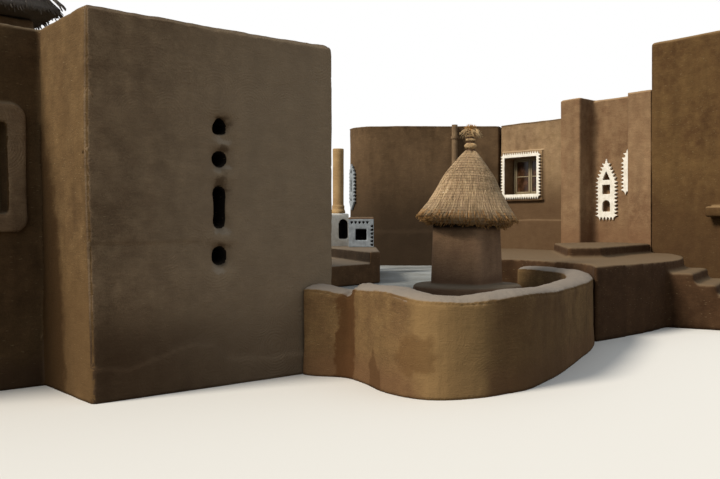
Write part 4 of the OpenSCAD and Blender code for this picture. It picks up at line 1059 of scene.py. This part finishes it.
def revolved(profile, steps):
    """A closed turned form from (radius, height) pairs that start and end on the axis."""
    bm = bmesh.new()
    verts = [bm.verts.new((radius, 0.0, height)) for radius, height in profile]
    edges = [bm.edges.new(pair) for pair in zip(verts, verts[1:])]
    bmesh.ops.spin(bm, geom=verts + edges, cent=(0, 0, 0), axis=(0, 0, 1),
                   angle=math.tau, steps=steps, use_merge=True)
    bmesh.ops.remove_doubles(bm, verts=bm.verts, dist=0.0002)
    bmesh.ops.recalc_face_normals(bm, faces=bm.faces)
    return bm


def rope(radius, height, thick, rng, steps=72):
    """A bound ring of grass rope, pressed in and out by the stalks, as a small mesh."""
    bm = bmesh.new()
    ring = bmesh.ops.create_circle(bm, segments=5, radius=thick / 2)["verts"]
    bmesh.ops.rotate(bm, verts=ring, cent=(0, 0, 0), matrix=Matrix.Rotation(math.pi / 2, 3, "X"))
    bmesh.ops.translate(bm, verts=ring, vec=(radius, 0.0, height))
    bmesh.ops.spin(bm, geom=list(bm.verts) + list(bm.edges), cent=(0, 0, 0), axis=(0, 0, 1),
                   angle=math.tau, steps=steps, use_merge=True)
    start = rng.uniform(0, 50)
    for vert in bm.verts:
        flat = Vector((vert.co.x, vert.co.y, 0.0)).normalized()
        swell = 0.5 * thick * noise.noise(flat * 4 + Vector((0, 0, start)))
        vert.co += swell * (flat + Vector((0.0, 0.0, 1.2)))
    bmesh.ops.recalc_face_normals(bm, faces=bm.faces)
    return mesh_of(bm, "rope")


def cap_point(angle, height, lift):
    """A point over the thatch's outline, in the thatch's own axes."""
    reach = on_line(CAP_LINE, height) + lift
    return Vector((reach * math.cos(angle), reach * math.sin(angle), height))


def straw_piece(name, bm, finish, place, nodes=()):
    """Makes a bmesh of straw a smooth finished piece in its place."""
    shade_smooth(bm)
    bm.transform(place)
    make_piece(name, mesh_of(bm, name), finish, nodes)


class HOUSE_OT_granary_thatch(bpy.types.Operator):
    """Thatch the granary: courses of straw over a core, stitched in rows, over a cut fringe"""
    bl_idname = "house.granary_thatch"
    bl_label = "Granary thatch"

    def execute(self, context):
        rng = random.Random(11)
        width = context.scene.house_sizes.stalk_width
        stalks = [stalk_mesh(rng, 3) for i in range(8)]
        bm = revolved([*CAP_CORE, *((reach - 0.016, height) for height, reach in CAP_LINE[1:-1]),
                       (0.0, 0.96)], 96)
        # Each stalk runs from its upper end down over the course below
        for top, foot, count in COURSES:
            for i in range(count):
                angle = math.tau * (i + rng.uniform(-0.7, 0.7)) / count
                lean = rng.gauss(0, 0.02)
                upper = min(top + rng.uniform(-0.07, 0.02), 0.965)
                lower = foot + rng.uniform(-0.02, 0.08)
                lift = rng.uniform(-0.012, -0.003)
                lay(bm, rng.choice(stalks), cap_point(angle, upper, lift - 0.004),
                    cap_point(angle + lean, lower, lift), width * rng.uniform(0.6, 1.15))
        for k in range(STITCHES):
            height = 0.10 + STITCH_PITCH * k
            bm.from_mesh(rope(on_line(CAP_LINE, height) - 0.001, height, 0.005, rng))
        straw_piece("granary_straw", bm, "straw", cap_place(), ("granary_thatch",))
        # The fringe: straw ends cut on a slant, in uneven lengths
        bm = bmesh.new()
        for i in range(FRINGE_STALKS):
            angle = math.tau * (i + rng.uniform(-0.5, 0.5)) / FRINGE_STALKS
            share = rng.random() ** 1.3
            # The ends gather in bundles that reach down by different lengths
            bundle = field(Vector((math.cos(angle) * 6, math.sin(angle) * 6, share)), 0.45, 2.0)
            end = TRIM[0].lerp(TRIM[1], share) + UP_SLOPE * (
                0.014 - 0.05 * bundle + rng.uniform(-0.022, 0.016))
            root = end + UP_SLOPE * 0.11 + Vector((-0.004 - 0.02 * share, 0, 0))
            turn = Matrix.Rotation(angle, 3, "Z")
            swing = Matrix.Rotation(angle + rng.gauss(0, 0.02), 3, "Z")
            lay(bm, rng.choice(stalks), turn @ root, swing @ end, width * rng.uniform(0.8, 1.6))
        straw_piece("granary_fringe", bm, "fringe", cap_place())
        return {"FINISHED"}


def roll_reach(half, t):
    """The radius of a roll of straw at a share of its height."""
    return half * (0.6 + 0.4 * math.sin(math.pi * t) ** 0.7)


class HOUSE_OT_knot(bpy.types.Operator):
    """Tie the granary's knot: three rolls of straw, each bound below, under a spread tuft"""
    bl_idname = "house.knot"
    bl_label = "Straw knot"

    def execute(self, context):
        rng = random.Random(5)
        low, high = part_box("granary_knot")
        stretch = context.scene.house_sizes.roll_height / KNOT_HEIGHT
        place = (Matrix.Translation(middle_of(low, high, low[2]))
                 @ Matrix.Diagonal((1.0, 1.0, stretch, 1.0)))
        short = stalk_mesh(rng, 1)
        shares = [k / ROLL_STEPS for k in range(ROLL_STEPS + 1)]
        bm = bmesh.new()
        for foot, head, half in ROLLS:
            core = [(roll_reach(half, t) - 0.006, foot + (head - foot) * t) for t in shares]
            bm.from_mesh(mesh_of(revolved([(0.0, foot), *core, (0.0, head)], 40), "core"))
            for i in range(ROLL_STALKS):
                turn = math.tau * (i + rng.uniform(-0.3, 0.3)) / ROLL_STALKS
                sunk = rng.uniform(0.002, 0.006)
                spots = []
                for t in shares:
                    reach = roll_reach(half, t) - sunk
                    spots.append(Vector((reach * math.cos(turn), reach * math.sin(turn),
                                         foot + (head - foot) * t)))
                for start, end in zip(spots, spots[1:]):
                    lay(bm, short, start, end, STRAND)
        straw_piece("granary_knot_rolls", bm, "bound_straw", place, ("granary_knot",))
        bm = bmesh.new()
        for height, half in BINDINGS:
            for k in (-1, 0, 1):
                bm.from_mesh(rope(half, height + BINDING_PITCH * k, 0.010, rng, 32))
        straw_piece("granary_bindings", bm, "binding", place)
        for name, finish, count, near, far, drop in TUFTS:
            bm = bmesh.new()
            for i in range(count):
                angle = rng.uniform(0, math.tau)
                way = Vector((math.cos(angle), math.sin(angle), 0.0))
                out = rng.uniform(near, far)
                rise = rng.uniform(0.09, 0.165) - 0.5 * min(out, 0.1)
                root = way * 0.022 + Vector((0, 0, 0.205))
                middle = root + way * out * 0.5 + Vector((0, 0, rise * 0.8))
                tip = root + way * out + Vector((
                    rng.gauss(0, 0.008), rng.gauss(0, 0.008),
                    rise - drop * rng.uniform(0.5, 1.6)))
                lay(bm, short, root, middle, 0.009)
                lay(bm, short, middle, tip, STRAND)
            straw_piece(name, bm, finish, place)
        return {"FINISHED"}


def hip_slope(side, low, high):
    """The two ends of a slope's eave, and the two ends of its top above them."""
    mid = middle_of(low, high, 0.0)
    corners = [Vector((low[0], low[1], 0)), Vector((high[0], low[1], 0)),
               Vector((high[0], high[1], 0)), Vector((low[0], high[1], 0))]
    ends = corners[side], corners[(side + 1) % 4]
    tops = [Vector((mid.x + (HUT_RIDGE if end.x >= mid.x else -HUT_RIDGE) / 2, mid.y, high[2]))
            for end in ends]
    for end in ends:
        end.z = low[2] + HUT_EDGE
    return (*ends, *tops)


class HOUSE_OT_hut_thatch(bpy.types.Operator):
    """Thatch the hut: overlapping courses of grey straw on the four slopes"""
    bl_idname = "house.hut_thatch"
    bl_label = "Hut thatch"

    def execute(self, context):
        rng = random.Random(23)
        width = context.scene.house_sizes.stalk_width * HUT_BUNDLE
        low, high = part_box("hut_thatch")
        stalks = [stalk_mesh(rng, 3) for i in range(8)]
        bm = copy_of(["hut_thatch"])
        bmesh.ops.scale(bm, verts=bm.verts, vec=(0.975, 0.975, 0.98),
                        space=Matrix.Translation(-middle_of(low, high, low[2])))
        bmesh.ops.triangulate(bm, faces=bm.faces)
        slopes = [hip_slope(side, low, high) for side in range(4)]
        for a, b, top_a, top_b in slopes:
            normal = (b - a).cross(top_a - a).normalized()
            if normal.z < 0:
                normal = -normal
            for row in range(HUT_ROWS):
                t0 = row / HUT_ROWS
                left, right = a.lerp(top_a, t0), b.lerp(top_b, t0)
                count = max(int((right - left).length / (width * HUT_SPACING)), 3)
                for i in range(count):
                    u = clamp((i + rng.uniform(0, 1)) / count)
                    foot_t = max(t0 + rng.uniform(-0.03, 0.03), 0.0)
                    head_t = min(t0 + (1.7 + rng.uniform(-0.3, 0.3)) / HUT_ROWS, 1.0)
                    side_a, side_b = a.lerp(top_a, foot_t), b.lerp(top_b, foot_t)
                    foot = side_a.lerp(side_b, u)
                    run = (side_b - side_a).normalized()
                    head_a, head_b = a.lerp(top_a, head_t), b.lerp(top_b, head_t)
                    along = (foot - head_a).dot(run) + rng.gauss(0, 0.02)
                    head = head_a + run * clamp(along, 0.0, (head_b - head_a).length)
                    sink = rng.uniform(0.006, 0.03)
                    if row == 0:
                        foot.z -= rng.uniform(0.03, 0.10)
                    lay(bm, rng.choice(stalks), head - normal * (sink + 0.03),
                        foot - normal * sink, width * rng.uniform(0.7, 1.3))
        # The four hips are bound with thick rolls of straw
        for a, b, top_a, top_b in slopes:
            for i in range(HUT_BINDS):
                t = i / HUT_BINDS
                spot, ahead = a.lerp(top_a, t), a.lerp(top_a, t + 0.06)
                for k in range(3):
                    drift = Vector((rng.gauss(0, 0.012), rng.gauss(0, 0.012), -0.012))
                    lay(bm, rng.choice(stalks), ahead + drift, spot + drift, width * 1.3)
        shade_smooth(bm)
        trim_to_box(bm, low, high, 0.12)
        make_piece("hut_straw", mesh_of(bm, "hut_straw"), "grey_straw", ("hut_thatch",))
        return {"FINISHED"}


def trim_to_box(bm, low, high, hang):
    """Presses stray tips back inside the box of their node, with some room to hang below it."""
    for vert in bm.verts:
        for k in range(3):
            floor = low[k] - (hang if k == 2 else 0.0)
            vert.co[k] = clamp(vert.co[k], floor + 0.002, high[k] - 0.002)


# Court pieces

class HOUSE_OT_granary_body(bpy.types.Operator):
    """Plaster the granary's plinth and body"""
    bl_idname = "house.granary_body"
    bl_label = "Granary body"

    def execute(self, context):
        mud_skin("granary_plaster", ("granary_plinth", "granary_body"), "store_mud",
                 grain=0.018, faces=26000, amount=0.010)
        return {"FINISHED"}


# Height of the seat's mud
SEAT_TOP = 0.93


def on_riser(point, normal):
    """True on the ledge's face over the seat, whose shade is painted."""
    return normal.x < -0.4 and point.z > SEAT_TOP


class HOUSE_OT_bench(bpy.types.Operator):
    """Plaster the mud bench with its arms and back"""
    bl_idname = "house.bench"
    bl_label = "Mud bench"

    def execute(self, context):
        mud_skin("bench_plaster", ("mud_bench",), "bench_mud", grain=0.022, faces=26000,
                 amount=0.014, others=((on_riser, "back_of_seat"),))
        return {"FINISHED"}


def block_dark(point, normal):
    """True inside the lamp niche and the notches of the niche block, which are painted dark:
    soot and painted shade.
    """
    low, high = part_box("niche_block")
    # The block is turned: its near left face starts at the left corner of its box
    cos, sin = math.cos(SKEW), math.sin(SKEW)
    side = (high[0] - low[0]) / (cos - sin)
    away = Vector((point.x - low[0], point.y - low[1] + side * sin, 0.0))
    across = away.dot(Vector((cos, sin, 0.0)))
    inward = away.dot(Vector((-sin, cos, 0.0)))
    # The white skin is 12 mm deep at the front and the sides
    return (inward > 0.012 and 0.012 < across < side - 0.012 and inward < side - 0.02
            and point.z < high[2] - 0.02)


def block_coping(point, normal):
    """True on the mud coping of the niche block."""
    return point.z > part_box("niche_block")[1][2] - 0.035


def dado_dark(point, normal):
    """True inside the arched lamp niche of the dado wall, which is painted dark: soot and
    painted shade.
    """
    return 6.015 < point.y < 6.25 and 7.5 < point.x < 7.86 and 1.2 < point.z < 1.68


def dado_shape(point):
    """The dado wall runs on to the niche block."""
    return Vector((0.035 * clamp((point.x - 7.6) / 0.15), 0.0, 0.0))


def on_back_corner(point, normal):
    """True on the tall relief in the back corner, whose shade is painted grey."""
    return point.x < 10.5


class HOUSE_OT_gateway(bpy.types.Operator):
    """Whitewash the niche block with painted shade and the dado wall, and plaster the gate pier"""
    bl_idname = "house.gateway"
    bl_label = "Gateway"

    def execute(self, context):
        # The niche block's wash is greyed as painted shade
        mud_skin("niche_block_wash", ("niche_block",), "grey_lime", grain=0.008,
                 faces=32000, amount=0.004,
                 others=((block_dark, "soot_and_painted_shade"), (block_coping, "bench_mud")))
        mud_skin("dado_wash", ("dado_wall",), "lime", grain=0.02, faces=14000,
                 amount=0.008, shape=dado_shape,
                 others=((dado_dark, "soot_and_painted_shade"),))
        mud_skin("gate_pier_plaster", ("gate_pier",), "pier_mud", grain=0.014,
                 faces=14000, amount=0.006)
        return {"FINISHED"}


class HOUSE_OT_reliefs(bpy.types.Operator):
    """Wash the toothed reliefs and the toothed window border white"""
    bl_idname = "house.reliefs"
    bl_label = "White reliefs"

    def execute(self, context):
        # The relief in the back corner is greyed with painted shade
        mud_skin("relief_wash", ("relief_panels",), "lime", grain=0.0065, faces=46000,
                 amount=0.003, others=((on_back_corner, "grey_lime"),))
        mud_skin("window_border_wash", ("window_border",), "lime", grain=0.006,
                 faces=40000, amount=0.003)
        return {"FINISHED"}


# Widths of a window's frame, its sashes, half its mullion and half a glazing bar, and the play
FRAME_WIDTH = 0.038
SASH_WIDTH = 0.034
HALF_MULLION = 0.015
HALF_BAR = 0.011
PLAY = 0.003


def bar(bm, across, span, depth, height, soften=0.004):
    """A squared bar with worn arrises that fills three (from, to) pairs: its span along the
    axis across the opening, its depth along the way out of the room, and its height."""
    pairs = [span, depth, height] if across == 0 else [depth, span, height]
    middle = [(first + last) / 2 for first, last in pairs]
    size = [last - first for first, last in pairs]
    made = bmesh.ops.create_cube(bm, size=1.0, matrix=Matrix.Translation(middle)
                                 @ Matrix.Diagonal((*size, 1.0)))
    edges = list({edge for vert in made["verts"] for edge in vert.link_edges})
    bmesh.ops.bevel(bm, geom=edges, offset=soften, segments=2, affect="EDGES", profile=0.5,
                    material=-1)


class HOUSE_OT_windows(bpy.types.Operator):
    """Fit each window with two framed lights, glazing bars and dusty glass"""
    bl_idname = "house.windows"
    bl_label = "Windows"

    def execute(self, context):
        for name, across in (("left_window", 0), ("court_window", 1)):
            low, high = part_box(name)
            timber, panes = bmesh.new(), bmesh.new()
            u0, u1 = low[across], high[across]
            z0, z1 = low[2], high[2]
            depth = low[1 - across], high[1 - across]
            inner = depth[0] + 0.014, depth[1] - 0.010
            middle = (u0 + u1) / 2
            for span in ((u0, u0 + FRAME_WIDTH), (u1 - FRAME_WIDTH, u1),
                         (middle - HALF_MULLION, middle + HALF_MULLION)):
                bar(timber, across, span, depth, (z0, z1))
            for height in ((z0, z0 + FRAME_WIDTH), (z1 - FRAME_WIDTH, z1)):
                for span in ((u0 + FRAME_WIDTH, middle - HALF_MULLION),
                             (middle + HALF_MULLION, u1 - FRAME_WIDTH)):
                    bar(timber, across, span, depth, height)
            foot, head = z0 + FRAME_WIDTH + PLAY, z1 - FRAME_WIDTH - PLAY
            cross = foot + (head - foot) * 0.5
            for left, right in ((u0 + FRAME_WIDTH + PLAY, middle - HALF_MULLION - PLAY),
                                (middle + HALF_MULLION + PLAY, u1 - FRAME_WIDTH - PLAY)):
                bar(timber, across, (left, left + SASH_WIDTH), inner, (foot, head))
                bar(timber, across, (right - SASH_WIDTH, right), inner, (foot, head))
                clear = left + SASH_WIDTH, right - SASH_WIDTH
                bar(timber, across, clear, inner, (foot, foot + SASH_WIDTH))
                bar(timber, across, clear, inner, (head - SASH_WIDTH, head))
                bar(timber, across, clear, (inner[0] + 0.006, inner[1] - 0.006),
                    (cross - HALF_BAR, cross + HALF_BAR))
                # The glass sits 4 mm in the sash
                bar(panes, across, (clear[0] - 0.004, clear[1] + 0.004),
                    (inner[0] + 0.013, inner[0] + 0.017),
                    (foot + SASH_WIDTH - 0.004, head - SASH_WIDTH + 0.004), 0.0008)
            shade_smooth(timber)
            make_piece(name + "_timber", mesh_of(timber, name), "timber", (name,))
            make_piece(name + "_glass", mesh_of(panes, name), "glass", ())
        return {"FINISHED"}


class HOUSE_OT_downpipe(bpy.types.Operator):
    """Finish the clay downpipe with its collar"""
    bl_idname = "house.downpipe"
    bl_label = "Downpipe"

    def execute(self, context):
        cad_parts["downpipe"].data.materials[0] = finish_of("clay")
        return {"FINISHED"}


OPERATORS = (
    HOUSE_OT_stage, HOUSE_OT_left_walls, HOUSE_OT_right_walls, HOUSE_OT_low_wall,
    HOUSE_OT_court, HOUSE_OT_granary_body, HOUSE_OT_granary_thatch, HOUSE_OT_knot,
    HOUSE_OT_hut_thatch, HOUSE_OT_bench, HOUSE_OT_gateway, HOUSE_OT_reliefs, HOUSE_OT_windows,
    HOUSE_OT_downpipe,
)


class HOUSE_PT_panel(bpy.types.Panel):
    """Lists the steps that finish the house"""
    bl_idname = "HOUSE_PT_panel"
    bl_label = "Adobe house"
    bl_space_type = "VIEW_3D"
    bl_region_type = "UI"
    bl_category = "Adobe house"

    def draw(self, context):
        for owner in (context.scene.house_sizes, context.scene.house_colours):
            for name in owner.__annotations__:
                self.layout.prop(owner, name)
        for operator in OPERATORS:
            self.layout.operator(operator.bl_idname)


CLASSES = (HouseSizes, HouseColours) + OPERATORS + (HOUSE_PT_panel,)


def register():
    for item in CLASSES:
        bpy.utils.register_class(item)
    bpy.types.Scene.house_sizes = bpy.props.PointerProperty(type=HouseSizes)
    bpy.types.Scene.house_colours = bpy.props.PointerProperty(type=HouseColours)


def unregister():
    del bpy.types.Scene.house_colours
    del bpy.types.Scene.house_sizes
    for item in reversed(CLASSES):
        bpy.utils.unregister_class(item)


def main():
    register()
    for operator in OPERATORS:
        getattr(bpy.ops.house, operator.bl_idname.split(".")[1])()


if __name__ == "__main__":
    main()
